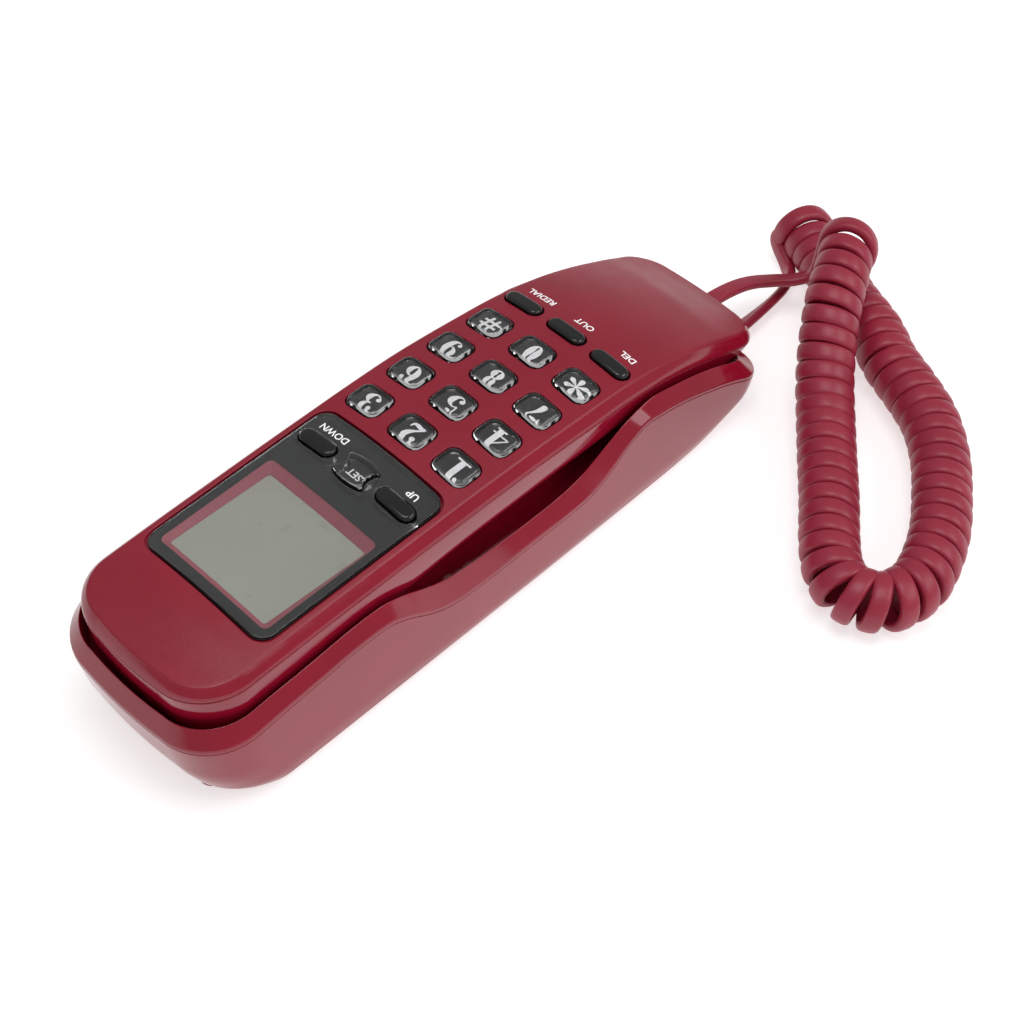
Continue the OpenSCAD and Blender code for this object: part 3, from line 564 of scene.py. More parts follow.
start_dir, end_dir = unit(helix[1] - helix[0]), unit(helix[-1] - helix[-2])
lead_a = spline(LEAD_HAND + [tuple(helix[0] - start_dir * LEAD_JOINS), tuple(helix[0])], LEAD_STEPS)[:-1]
lead_b = spline(LEAD_BASE + [tuple(helix[-1] + end_dir * LEAD_JOINS), tuple(helix[-1])], LEAD_STEPS)[:-1]
wide_a, share_a = carried(lead_a, np.array((1.0, 0, 0)), tangent[0])
wide_b, share_b = carried(lead_b, np.array((1.0, 0, 0)), tangent[-1])
line = np.vstack([lead_a, helix, lead_b[::-1]])
path_t = np.gradient(line, axis=0)
path_t /= np.linalg.norm(path_t, axis=1, keepdims=True)
coil_t = path_t[len(lead_a):len(lead_a) + len(helix)]
coil_wide = tangent - coil_t * (tangent * coil_t).sum(1)[:, None]
coil_wide /= np.linalg.norm(coil_wide, axis=1, keepdims=True)
if wide_a[-1].dot(coil_wide[0]) < 0:
    wide_a = -wide_a
if wide_b[-1].dot(coil_wide[-1]) < 0:
    wide_b = -wide_b
wide = np.vstack([wide_a, coil_wide, wide_b[::-1]])
wide -= path_t * (wide * path_t).sum(1)[:, None]
wide /= np.linalg.norm(wide, axis=1, keepdims=True)
as_lead = np.concatenate([1 - share_a ** 2, np.zeros(len(helix)), (1 - share_b ** 2)[::-1]])
size_w = STRIP_W + (LEAD_W - STRIP_W) * as_lead
size_t = STRIP_T + (LEAD_T - STRIP_T) * as_lead
thin = np.cross(path_t, wide)
CORD_SIDES, ROUND_W, ROUND_T = 24, 0.7, 0.62
GROOVE, GROOVE_AT, GROOVE_W = 0.22, 0.42, 0.13
profile = []
for i in range(CORD_SIDES):
    a = 2 * math.pi * i / CORD_SIDES
    c, s = math.cos(a), math.sin(a)
    profile.append((math.copysign(abs(c) ** ROUND_W, c), math.copysign(abs(s) ** ROUND_T, s)))


def cross_section(i):
    """The strand's outline at one point of its line; a flat lead has a groove along each side of its middle."""
    loop = []
    for c, s in profile:
        groove = 1 - GROOVE * as_lead[i] * math.exp(-((abs(c) - GROOVE_AT) / GROOVE_W) ** 2)
        loop.append(tuple(line[i] + wide[i] * c * size_w[i] / 2 + thin[i] * s * groove * size_t[i] / 2))
    return loop


rings = [cross_section(i) for i in range(len(line))]
joint = len(lead_a)


def strand(name, body, first, last, replaces, plug):
    """One stretch of the cord, from one cross section to another. Its route is worked out from its plug but not
    kept.
    """
    form = Form()
    kept = rings[first:last + 1]
    form.skin(kept)
    form.cap(kept[0])
    form.cap(kept[-1])
    obj = form.make(name, body, [cord_red], replaces, "cord", weighted=False)
    route = line[first:last + 1]
    if plug == "base_plug":
        route = route[::-1]
    route = (route * MM).tolist()
    long = round(float(along(np.array(route))[-1]), 3)
    tuple(route[0])
    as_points(route)


# the coil lies with the base; the handset's lead, from its plug to the coil's first turn, is left on no body
# and does not bend
strand("cord_coiled", "base", joint, len(line) - 1, ("coil_cord", "lead_base"), "base_plug")
bend = ("base", "handset", tuple(line[joint] * MM), tuple(line[PLUG_POINT] * MM))
strand("cord_lead", bend, 0, joint, ("lead_handset",), "handset_plug")

# ---- handset
KEY_COL, KEY_ROW, KEY_TOP, KEY_W, KEY_L, KEY_R = 14.9, 13.5, 6.5, 10.2, 8.6, 2.4
PILL_W, PILL_L, FUNC_Y, MENU_Y, MENU_COL = 11.4, 4.4, -46.1, 24.6, 13.5
CLEAR = 0.4
PROUD = 1.1
PANEL_HALF, PANEL_LOW, PANEL_TOP, PANEL_FLOOR, PANEL_R = 21.7, 14.6, 72.9, 41.6, 4.5
number_at = [((c - 1) * KEY_COL, KEY_TOP - KEY_ROW * r) for r in range(4) for c in range(3)]
func_at = [((c - 1) * KEY_COL, FUNC_Y) for c in range(3)]


def number_plan(x, y, base=0.0):
    return lambda g: rrect(x, y, KEY_W, KEY_L, KEY_R, g + base)


def pill_plan(x, y, base=0.0):
    return lambda g: rrect(x, y, PILL_W, PILL_L, PILL_L / 2 - 0.01, g + base, arc=8)


def set_shape(base=0.0):
    return lambda g: set_plan(0, MENU_Y, g + base)


menu_plans = [pill_plan(-MENU_COL, MENU_Y, CLEAR), set_shape(CLEAR), pill_plan(MENU_COL, MENU_Y, CLEAR)]
key_plans = [number_plan(x, y, CLEAR) for x, y in number_at] + [pill_plan(x, y, CLEAR) for x, y in func_at]


def panel_rect(half, low, high, r, g, arc=6):
    """A rounded rectangle on the phone's middle line, between two places along it."""
    return rrect(0, (low + high) / 2, 2 * half, high - low, r, g, arc=arc, edge=2)


def panel_plan(g):
    return panel_rect(PANEL_HALF, PANEL_LOW, PANEL_TOP, PANEL_R, g, 10)


def frame_plan(g):
    return rrect(0, 51.9, 38.8, 36.6, 1.5, g, arc=4, edge=2.5)


face_edge = outline(23.1, 20.6, 93.1, -98.3, 11, 9)
face_soft = outline(22.7, 20.2, 92.7, -97.9, 10.7, 8.7)
bevel_edge = outline(24.9, 22, 94.4, -99.1, 13, 9.6)
seam_edge = outline(25.5, 22.6, 95, -99.3, 15, 10)
seam_in = outline(23.6, 20.7, 93, -98, 13, 8)
bevel_in = outline(23.2, 20.2, 92.6, -97.6, 13, 8)
SEAM_GAP = 0.12

front = Form()
top_loops, low_loops = [], []
for plan in key_plans:
    a, b = front.hole(plan, face_z, inner_z, 0.22, 0, 1)
    top_loops.append(a)
    low_loops.append(b)
panel_floor = level(PANEL_FLOOR)
panel_first, panel_last = front.hole(panel_plan, face_z, panel_floor, 0.3, 0, 1)
ledge_loops = []
for plan in menu_plans + [frame_plan]:
    a, b = ring(plan(0), panel_floor), ring(plan(0), inner_z)
    front.wall(a, b, 1)
    ledge_loops.append(a)
    low_loops.append(b)
front.sheet(panel_last, ledge_loops, panel_floor, 1, 4)
face_ring = ring(face_soft, face_z)
front.sheet(face_ring, top_loops + [panel_first], face_z, 0, 1.7)
front.loft([face_ring,
            ring(face_edge, section(crease_z)),
            ring(bevel_edge, between(seam_z, crease_z, 0.42)),
            ring(seam_edge, section(seam_z, SEAM_GAP)),
            ring(seam_in, section(seam_z, SEAM_GAP)),
            ring(bevel_in, inner_z)],
           [0, 0.45, 2.4, 0.3, 0.3, 0], [0, 1, 1, 1, 1], arc=6)
front.sheet(ring(bevel_in, inner_z), low_loops, inner_z, 1, 4)
front.make("handset_front", "handset", [red_grain, red_gloss], ("handset_front_shell",), "shell")

side_edge = outline(24.9, 21.8, 93.6, -98, 14, 9)
belly_edge = outline(23.2, 20, 91.6, -96.2, 13, 8)
back_edge = outline(20, 16.8, 88, -93.5, 11, 6)
belly_in = outline(22.4, 19.4, 91.2, -95.6, 12, 7)
back_in = outline(18.8, 15.6, 86.8, -91.5, 10, 6)
HAND_WALL = 1.9
back, back_inside = section(back_z), section(back_z, HAND_WALL)
JACK_X, JACK_Y, JACK_Z = -2.5, -86, 17.8
EAR_Y, MOUTH_Y, SOUND_R = 67, -66, 0.8
SCREW_BORE = 2.6


def round_plan(cx, cy, r, n):
    return lambda g: circle(cx, cy, r, g, n)


def jack_hole(g):
    x, y = JACK_X, JACK_Y
    pts = [(2.9, -91), (2.9, y - 0.3), (5.1, y - 0.3), (5.1, y + 14.3), (-5.1, y + 14.3), (-5.1, y - 0.3),
           (-2.9, y - 0.3), (-2.9, -91)]
    return [(x + px + math.copysign(g, px), py + (g if py > -80 else -g)) for px, py in pts]


rear = Form()
rear_top, rear_low = [], []


def rear_hole(plan, soft):
    rear.low_hole(plan, back, back_inside, soft, rear_top, rear_low)


for k in range(3):
    for j in range(max(1, 6 * k)):
        a = 2 * math.pi * j / max(1, 6 * k)
        rear_hole(round_plan(3 * k * math.cos(a), EAR_Y + 3 * k * math.sin(a), SOUND_R, 14), 0.2)
rear_hole(round_plan(0, MOUTH_Y, SOUND_R, 14), 0.2)
rear_hole(jack_hole, 0.15)
hand_screws = [(14, -57), (-14, -57), (15, 84.5), (-15, 84.5)]
for sx, sy in hand_screws[:2]:
    rear_hole(round_plan(sx, sy, SCREW_BORE, 28), 0.3)
back_ring = ring(back_edge, back)
rear.sheet(back_ring, rear_top, back, 0, 2.6)
rear.loft([back_ring,
           ring(belly_edge, between(back_z, seam_z, 0.12)),
           ring(side_edge, between(back_z, seam_z, 0.31)),
           ring(seam_edge, section(seam_z, -0.05)),
           ring(seam_in, section(seam_z, -0.05)),
           ring(belly_in, between(back_z, seam_z, 0.31, 0.6)),
           ring(back_in, back_inside)],
          [0, 2.6, 2.4, 0.25, 0.2, 0.5, 0], arc=6)
rear.sheet(ring(back_in, back_inside), rear_low, back_inside, 0, 4)
rear_shell = rear.make("handset_rear", "handset", [red_gloss], ("handset_rear_shell",), "shell", weighted=False)


def bored(obj, places, r, z0, z1):
    """Bores round holes up through a finished piece."""
    for x, y in places:
        form = Form()
        low, high = (ring(circle(x, y, r, 0, 32), level(z)) for z in (z0, z1))
        form.cap(low)
        form.wall(low, high)
        form.cap(high)
        cutter = form.make("cutter", "handset", [], weighted=False)
        mod = obj.modifiers.new("bore", "BOOLEAN")
        mod.operation = "DIFFERENCE"
        mod.solver = "EXACT"
        mod.object = cutter
        graph = bpy.context.evaluated_depsgraph_get()
        done = bpy.data.meshes.new_from_object(obj.evaluated_get(graph))
        obj.modifiers.clear()
        obj.data = done
        bpy.data.objects.remove(cutter)
    obj.data.set_sharp_from_angle(angle=math.radians(40))


BORE_FROM, BORE_TO = 5, 24
bored(rear_shell, hand_screws[2:], SCREW_BORE, BORE_FROM, BORE_TO)

# ---- display
WINDOW_HALF, WINDOW_LOW, WINDOW_TOP = 18.4, 34.8, 69
GLASS_HALF, GLASS_LOW, GLASS_TOP = 16.3, 37.2, 67.5
LENS_PROUD = 0.15
lens_top, lens_bottom = above(face_z, LENS_PROUD), level(PANEL_FLOOR + 0.05)


def lens_plan(g):
    return panel_rect(PANEL_HALF - 0.7, PANEL_LOW + 0.7, PANEL_TOP - 0.7, PANEL_R - 0.5, g, 10)


def window_plan(g):
    return panel_rect(WINDOW_HALF, WINDOW_LOW, WINDOW_TOP, 1.6, g)


lens = Form()
tops, lows = [], []
for plan in menu_plans:
    a, b = lens.hole(plan, lens_top, lens_bottom, 0.3)
    tops.append(a)
    lows.append(b)
edge_ring = ring(lens_plan(-0.5), lens_top)
lens.sheet(edge_ring, tops, lens_top, 0, 2)
lens_low = ring(lens_plan(0), lens_bottom)
lens.loft([edge_ring, ring(lens_plan(-0.05), lens_top), ring(lens_plan(0), above(lens_top, -0.5)), lens_low],
          [0, 0.35, 0.1, 0], arc=5)
lens.sheet(lens_low, lows, lens_bottom, 0, 5)
lens.make("lens_plate", "handset", [clear_lens], ("lens_panel",), "lens")


MASK_T = 0.03
mask_top, mask_under = level(PANEL_FLOOR + 0.04), level(PANEL_FLOOR + 0.04 - MASK_T)
mask = Form()
mask_plans = [lens_plan(0)] + [plan(0.02) for plan in menu_plans + [window_plan]]
for height in (mask_top, mask_under):
    mask_out, *mask_in = [ring(loop, height) for loop in mask_plans]
    mask.sheet(mask_out, mask_in, height, 0, 5)
for loop in mask_plans:
    mask.wall(ring(loop, mask_top), ring(loop, mask_under))
# black tubes round the key holes and the lens's edge, so that neither shows clear
tube_top = above(lens_top, -0.45)
for plan, near, far in [(p, -0.03, -0.09) for p in menu_plans] + [(lens_plan, 0.03, 0.1)]:
    mask.skin([ring(plan(g), z) for g, z in (
        (near, mask_top), (near, tube_top), (far, tube_top), (far, mask_top), (near, mask_top))])
mask.make("lens_print", "handset", [black_satin], (), "lens")

GLASS_LOW_Z, GLASS_HIGH_Z = 39.3, 40.6


def glass_z(x, y):
    """The display glass lies at a slight tilt."""
    return GLASS_LOW_Z + (GLASS_HIGH_Z - GLASS_LOW_Z) * (y - GLASS_LOW) / (GLASS_TOP - GLASS_LOW)


def glass_plan(g, r=0.7):
    return panel_rect(GLASS_HALF, GLASS_LOW, GLASS_TOP, r, g)


def bezel(half, low, high, r):
    """A rounded rectangle with the same steps on each side, so that every bezel loop matches."""
    return rrect(0, (low + high) / 2, 2 * half, high - low, r, sides=16)


FRAME_TOP_Z, FRAME_LOW_Z = PANEL_FLOOR - 0.06, 38.0
frame_edge = bezel(19.3, 33.7, 70.1, 1.2)
glass_edge = bezel(GLASS_HALF, GLASS_LOW, GLASS_TOP, 0.8)
surround = Form()
lv = [
    ring(frame_edge, level(FRAME_LOW_Z)),
    ring(frame_edge, level(FRAME_TOP_Z)),
    ring(bezel(WINDOW_HALF + 0.1, WINDOW_LOW - 0.1, WINDOW_TOP + 0.1, 1.9), level(FRAME_TOP_Z)),
    ring(glass_edge, above(glass_z, 0.1)),
    ring(glass_edge, above(glass_z, -0.05)),
    ring(bezel(GLASS_HALF + 1.4, GLASS_LOW - 1.4, GLASS_TOP + 1.4, 0.9), above(glass_z, -0.05)),
    ring(bezel(GLASS_HALF + 1.5, GLASS_LOW - 1.5, GLASS_TOP + 1.5, 0.9), level(FRAME_LOW_Z)),
    ring(frame_edge, level(FRAME_LOW_Z)),
]
surround.loft(lv, [0, 0.2, 0.7, 0.15, 0, 0, 0, 0], arc=4)
surround.make("display_surround", "handset", [pink_frame_brightened], ("display_frame",), "display_frame")

slab = Form()
slab_top, slab_under = above(glass_z, -0.06), above(glass_z, -1.8)
slab.block([ring(glass_plan(1.2, 0.5), z) for z in (slab_top, slab_under)], slab_top, slab_under, 4, 6)
slab.make("display_cell", "handset", [lcd_brightened], ("display_glass",), "display_glass")

# ---- keys
PRINT_DEPTH = 2.6
CAP_STEPS, CAP_HALF, CAP_DOME, CAP_TILT = 8, 5.0, 0.25, 0.8


def make_cap(plan, cx, cy, soft, depth, step=1.3):
    """A domed key cap with rounded upper edges, and the height of the print under it."""
    face = face_z(cx, cy)
    top0 = face + PROUD

    def top_fn(x, y):
        dome = CAP_DOME * (1 - ((x - cx) / CAP_HALF) ** 2 * 0.5 - ((y - cy) / CAP_HALF) ** 2 * 0.5)
        return top0 + CAP_TILT * (face_z(x, y) - face) + dome - 0.22

    slope_x = 0.2 * (face_z(cx + 2, cy) - face_z(cx - 2, cy))
    slope_y = 0.2 * (face_z(cx, cy + 2) - face_z(cx, cy - 2))

    def print_z(x, y):
        """The plane the legend is printed on, under the clear cap."""
        return top0 - 0.1 + slope_x * (x - cx) + slope_y * (y - cy) - PRINT_DEPTH

    rows = eased(plan, top_fn, soft, CAP_STEPS) + [ring(plan(0.0), above(top_fn, -depth))]
    form = Form()
    form.block(rows, top_fn, above(top_fn, -depth), step, 2.5)
    return form, print_z


def stroke(points, n=8):
    """A ribbon mesh: points are x, y, half width."""
    p = spline(points, n) if len(points) > 2 else np.array(points, float)
    d = np.gradient(p[:, :2], axis=0)
    d /= np.linalg.norm(d, axis=1, keepdims=True) + 1e-12
    nrm = np.stack([-d[:, 1], d[:, 0]], axis=1)
    a = p[:, :2] + nrm * p[:, 2:3]
    b = p[:, :2] - nrm * p[:, 2:3]
    verts = [tuple(v) for v in a] + [tuple(v) for v in b]
    m = len(a)
    return verts, [(i, i + 1, m + i + 1, m + i) for i in range(m - 1)]


def disc(x, y, r):
    return circle(x, y, r, n=20), [tuple(range(20))]


def bar(x0, y0, x1, y1):
    return [(x0, y0), (x1, y0), (x1, y1), (x0, y1)], [(0, 1, 2, 3)]


def oval(cx, cy, rx, ry, thick, thin_w):
    """A loop that is thick at its sides and thin at its top and bottom."""
    n = 32
    pts = []
    for i in range(n + 1):
        a = 2 * math.pi * i / n
        w = thin_w + (thick - thin_w) * abs(math.cos(a)) ** 1.5
        pts.append((cx + (rx - w) * math.cos(a), cy + (ry - w) * math.sin(a), w))
    return stroke(pts, 1)


def turned(parts):
    """The same marks half a turn round."""
    return [([(-x, -y) for x, y in v], f) for v, f in parts]


six = [stroke([(0.2, 0.40, .03), (0.06, 0.47, .03), (-0.11, 0.36, .09), (-0.19, 0, .12), (-0.15, -0.28, .10),
               (0, -0.46, .035), (0.15, -0.34, .08), (0.19, -0.17, .11), (0.13, 0.0, .07), (0, 0.09, .03),
               (-0.12, 0.02, .03)]), disc(0.17, 0.33, .085)]
STAR_ARM = [(0, .012), (.16, .055), (.32, .105), (.43, .095), (.49, .01)]
# marks one high, as strokes, dots and bars: each stroke point is x, y and half its width
GLYPHS = {
    "1": [bar(-.12, -.5, .12, .5), bar(-.3, -.5, .3, -.42),
          stroke([(-.3, .34, .03), (-.2, .4, .035), (-.08, .46, .04)])],
    "2": [disc(-.19, .25, .11),
          stroke([(-.27, .24, .03), (-.2, .41, .03), (0, .47, .035), (.18, .33, .11), (.17, .14, .11),
                  (.02, -.1, .06), (-.14, -.26, .035), (-.27, -.42, .03)]),
          stroke([(-.27, -.43, .045), (-.1, -.38, .09), (.1, -.42, .085), (.24, -.38, .05), (.29, -.2, .02)])],
    "3": [disc(-.17, .28, .09), disc(-.19, -.28, .10),
          stroke([(-.24, .3, .03), (-.14, .44, .03), (.04, .46, .04), (.15, .29, .10), (.08, .08, .05),
                  (-.06, .03, .03)]),
          stroke([(-.06, .03, .03), (.12, .0, .05), (.2, -.22, .12), (.1, -.42, .06), (-.08, -.47, .03),
                  (-.26, -.32, .03)])],
    "4": [bar(.02, -.5, .25, .5), bar(-.08, -.5, .35, -.43), stroke([(.14, .48, .03), (-.31, -.2, .03)]),
          bar(-.34, -.25, .37, -.18)],
    "5": [stroke([(-.22, .45, .05), (-.02, .40, .08), (.22, .47, .03)]), bar(-.24, .04, -.18, .48),
          stroke([(-.2, .05, .03), (-.02, .13, .035), (.17, .0, .10), (.19, -.2, .12), (.08, -.42, .06),
                  (-.1, -.47, .03), (-.26, -.33, .03)]), disc(-.17, -.29, .10)],
    "6": six,
    "7": [stroke([(-.28, .22, .02), (-.26, .38, .05), (-.08, .41, .09), (.12, .44, .08), (.3, .47, .03)]),
          stroke([(.29, .47, .03), (.1, .12, .05), (.0, -.15, .10), (-.03, -.38, .12)]), disc(-.03, -.38, .12)],
    "8": [oval(0, .25, .22, .25, .095, .03), oval(0, -.22, .26, .28, .115, .03)],
    "9": turned(six),
    "0": [oval(0, 0, .27, .5, .13, .035)],
    "star": [stroke([(r * math.cos(a), r * math.sin(a), w) for r, w in STAR_ARM])
             for a in [math.radians(30 + 60 * k) for k in range(6)]],
    "hash": [stroke([(-.2, -.42, .06), (-.06, .42, .06)]), stroke([(.08, -.42, .06), (.22, .42, .06)]),
             bar(-.36, .08, .38, .2), bar(-.4, -.2, .34, -.08)],
}
DIGIT_H, DIGIT_STRETCH = 5.9, 1.15
INK_STEP, INK_LIFT = 0.004, 0.012


def print_glyph(name, body, parts, cx, cy, height, z_fn, stretch=1.0, slot="key"):
    """Flat white marks laid on a surface, each a hair above the one before."""
    form = Form()
    for k, (verts, faces) in enumerate(parts):
        pts = [(cx + x * height * stretch, cy + y * height) for x, y in verts]
        form.add(ring(pts, above(z_fn, INK_STEP * k)), faces)
    return form.make(name, body, [glowing_white_ink], (), slot, weighted=False)


def words(name, body, text, cx, cy, size, z_fn, slot="shell", bold=0.015):
    """A word from Blender's own plain font, laid on a surface."""
    curve = bpy.data.curves.new(name, "FONT")
    curve.body = text
    curve.size = size
    curve.align_x = "CENTER"
    curve.align_y = "CENTER"
    curve.offset = bold * size
    curve.resolution_u = 4
    temp = bpy.data.objects.new(name + "_line", curve)
    mesh = bpy.data.meshes.new_from_object(temp)
    form = Form()
    form.add(ring([(cx + v.co.x, cy + v.co.y) for v in mesh.vertices], z_fn),
             [tuple(p.vertices) for p in mesh.polygons])
    bpy.data.objects.remove(temp)
    bpy.data.curves.remove(curve)
    bpy.data.meshes.remove(mesh)
    return form.make(name, body, [glowing_white_ink], (), slot, weighted=False)


FLANGE_T = 0.8


def make_core(name, body, plan, z_top, z_low, sleeve):
    """The black cup of a key that holds its clear cap, with the flange that keeps it in."""
    form = Form()
    lip, low = above(z_top, sleeve), level(z_low)
    rows = [ring(plan(g), z) for g, z in (
        (0.02, z_top), (0.02, lip), (0.13, lip), (0.13, low), (0.25, low), (0.25, level(z_low - FLANGE_T)))]
    form.block(rows, z_top, level(z_low - FLANGE_T), 2.5, 3)
    return form.make(name, body, [key_black], (), "key")


CAP_T = PRINT_DEPTH - 0.2
KEY_CORE, KEY_SLEEVE, SET_CORE, SET_SLEEVE = 4.4, 1.15, 4.2, 1.75
key_names = ["1", "2", "3", "4", "5", "6", "7", "8", "9", "star", "0", "hash"]
for name, (x, y) in zip(key_names, number_at):
    body = "key_" + name
    plan = number_plan(x, y)
    form, print_z = make_cap(plan, x, y, 1.2, CAP_T, 0.8)
    form.make(body + "_cap", body, [clear_cap], (body,), "key")
    make_core(body + "_core", body, plan, print_z, face_z(x, y) - KEY_CORE, KEY_SLEEVE)
    print_glyph(body + "_legend", body, GLYPHS[name], x, y, DIGIT_H, above(print_z, INK_LIFT), DIGIT_STRETCH)

LABEL_SIZE, LABEL_LIFT = 2.75, 0.015
on_face, on_lens = (face_z, 5.9, "shell"), (lens_top, 4.8, "lens")
for body, (x, y), text, (surface, below, slot) in (
    ("key_del", func_at[0], "DEL", on_face), ("key_out", func_at[1], "OUT", on_face),
    ("key_redial", func_at[2], "REDIAL", on_face), ("key_up", (-MENU_COL, MENU_Y), "UP", on_lens),
    ("key_down", (MENU_COL, MENU_Y), "DOWN", on_lens),
):
    form, _ = make_cap(pill_plan(x, y), x, y, 0.95, 4.6, 1.0)
    form.make(body + "_cap", body, [key_black], (body,), "key")
    words("label_" + text.lower(), "handset", text, x - 0.8, y - below, LABEL_SIZE,
          above(surface, LABEL_LIFT), slot)

form, print_z = make_cap(set_shape(), 0, MENU_Y, 0.6, CAP_T, 1.0)
form.make("key_set_cap", "key_set", [clear_cap], ("key_set",), "key")
make_core("key_set_core", "key_set", set_shape(), print_z, face_z(0, MENU_Y) - SET_CORE, SET_SLEEVE)
words("key_set_legend", "key_set", "SET", 0, MENU_Y + 0.4, LABEL_SIZE,
      above(print_z, INK_LIFT), "key")

# ---- base
floor_edge = outline(20.6, 17.6, 88.8, -87, 11, 7)
wall_edge = outline(25.3, 23.2, 94.6, -89.8, 14, 9)
inner_rim = outline(26.5, 25.2, 95.9, -91.4, 14, 9)
outer_rim = outline(29.3, 28.7, 98.4, -94, 16, 9)
skirt_in = outline(27, 26.2, 96.4, -91.7, 14, 8)
wall_under = outline(26.8, 25.4, 95.8, -91.2, 14, 8)
floor_under = outline(22, 19, 90, -87.6, 11, 7)
SKIRT, BASE_WALL = 1.1, 2.0
cradle, cradle_under = section(floor_z), section(floor_z, -BASE_WALL)
wall_z = between(floor_z, rim_in_z, 0.3)
rim_out = section(rim_out_z)
skirt_low = above(rim_out, -SKIRT)

HOOK_Y, HOOK_W, HOOK_L, HOOK_TOP = 49, 7.0, 5.0, 19.6


def hook_plan(g):
    return rrect(0, HOOK_Y, HOOK_W + 0.5, HOOK_L + 0.5, 0.4, g, arc=3)


top = Form()
hook_a, hook_b = top.hole(hook_plan, cradle, cradle_under, 0.3)
floor_ring = ring(floor_edge, cradle)
top.sheet(floor_ring, [hook_a], cradle, 0, 3)
top.loft([floor_ring,
          ring(wall_edge, wall_z),
          ring(inner_rim, section(rim_in_z)),
          ring(outer_rim, rim_out),
          ring(outer_rim, skirt_low),
          ring(skirt_in, skirt_low),
          ring(wall_under, lambda x, y: min(wall_z(x, y) - 0.6, skirt_low(x, y) - 0.5)),
          ring(floor_under, cradle_under)],
         [0, 3.2, 0.55, 0.45, 0.12, 0.2, 0.5, 0], arc=6)
top.sheet(ring(floor_under, cradle_under), [hook_b], cradle_under, 0, 5)
top.make("base_top", "base", [red_gloss], ("base_top_shell",), "shell")


def side_z(share):
    """A share of the way up the tub's side, which ends 0.15 mm below the skirt."""
    return lambda x, y: at(y, under_z) + share * (skirt_low(x, y) - 0.15 - at(y, under_z))


tub_edge = outline(29.1, 28.5, 96.1, -93.6, 15, 9)
heel_edge = outline(28.9, 28.2, 92.8, -93, 15, 9)
sole_edge = outline(28.4, 27.4, 88.6, -91.4, 14, 8)
tub_in = outline(27.25, 26.5, 96.6, -92, 14, 8)
heel_in = outline(26.9, 25.8, 91.9, -88.5, 13, 8)
sole_in = outline(25.4, 24.2, 86.4, -84.5, 11, 7)
sole, sole_inside = section(under_z), section(under_z, BASE_WALL)
bottom = Form()
sole_loops, deck_loops = [], []


def sole_hole(plan, soft):
    bottom.low_hole(plan, sole, sole_inside, soft, sole_loops, deck_loops)


ENTRY_R, ENTRY_DROP, NECK_HALF = 5.0, 8, 2.3


def keyhole(seat):
    """A wall slot: a round entry with a narrow neck towards the display end."""
    def plan(g):
        r, neck = ENTRY_R + g, NECK_HALF + g
        a0 = math.asin(neck / r)
        pts = []
        for i in range(33):
            a = math.pi / 2 + a0 + (2 * math.pi - 2 * a0) * i / 32
            pts.append((r * math.cos(a), seat - ENTRY_DROP + r * math.sin(a)))
        pts += [(neck, seat + NECK_HALF + g), (-neck, seat + NECK_HALF + g)]
        return pts
    return plan


for seat in (69, -32.6):
    sole_hole(keyhole(seat), 0.3)
base_screws = [(19.5, 78), (-19.5, 78), (19.5, -58), (-19.5, -58)]
for sx, sy in base_screws:
    sole_hole(round_plan(sx, sy, SCREW_BORE, 28), 0.3)
for x, y in circle(0, 8, 6, n=8):
    sole_hole(round_plan(x, y, 1.0, 16), 0.2)
for jx in (-9, 9):
    sole_hole(lambda g, jx=jx: rrect(jx, -80, 9.2, 7.8, 0.4, g, arc=3), 0.2)
sole_ring = ring(sole_edge, sole)
bottom.sheet(sole_ring, sole_loops, sole, 0, 3)
bottom.loft([sole_ring,
             ring(heel_edge, side_z(0.13)),
             ring(tub_edge, side_z(0.45)),
             ring(outer_rim, side_z(1)),
             ring(tub_in, side_z(1)),
             ring(heel_in, lambda x, y: sole(x, y) + min(4.5, 0.35 * (side_z(1)(x, y) - sole(x, y)) + 0.3)),
             ring(sole_in, sole_inside)],
            [0, 2.2, 3.0, 0.25, 0.2, 0.5, 0], arc=6)
bottom.sheet(ring(sole_in, sole_inside), deck_loops, sole_inside, 0, 5)
for fx, fy in ((15.4, 87.2), (-15.4, 87.2), (16, -54), (-16, -54)):
    rows = [ring(circle(fx, fy, r), level(z)) for r, z in ((2.6, 0.0), (3.05, 0.12), (3.2, 0.45), (3.2, 3.4))]
    bottom.cap(rows[0])
    bottom.skin(rows)
    bottom.cap(rows[-1])
bottom.make("base_bottom", "base", [red_gloss], ("base_bottom_shell",), "shell")

plunger = Form()


def plunger_plan(g):
    return rrect(0, HOOK_Y, HOOK_W, HOOK_L, 0.5, g, arc=3)


HOOK_SOFT, HOOK_FLANGE, HOOK_LOW = 0.5, 10.7, 9.5
rows = eased(plunger_plan, level(HOOK_TOP), HOOK_SOFT, 4)
for g, z in ((0, HOOK_FLANGE), (0.8, HOOK_FLANGE), (0.8, HOOK_LOW)):
    rows.append(ring(plunger_plan(g), level(z)))
plunger.block(rows, level(HOOK_TOP), level(HOOK_LOW), 2, 3)
plunger.make("hook_button", "hook", [black_satin], ("hook_plunger",), "black_plastic")


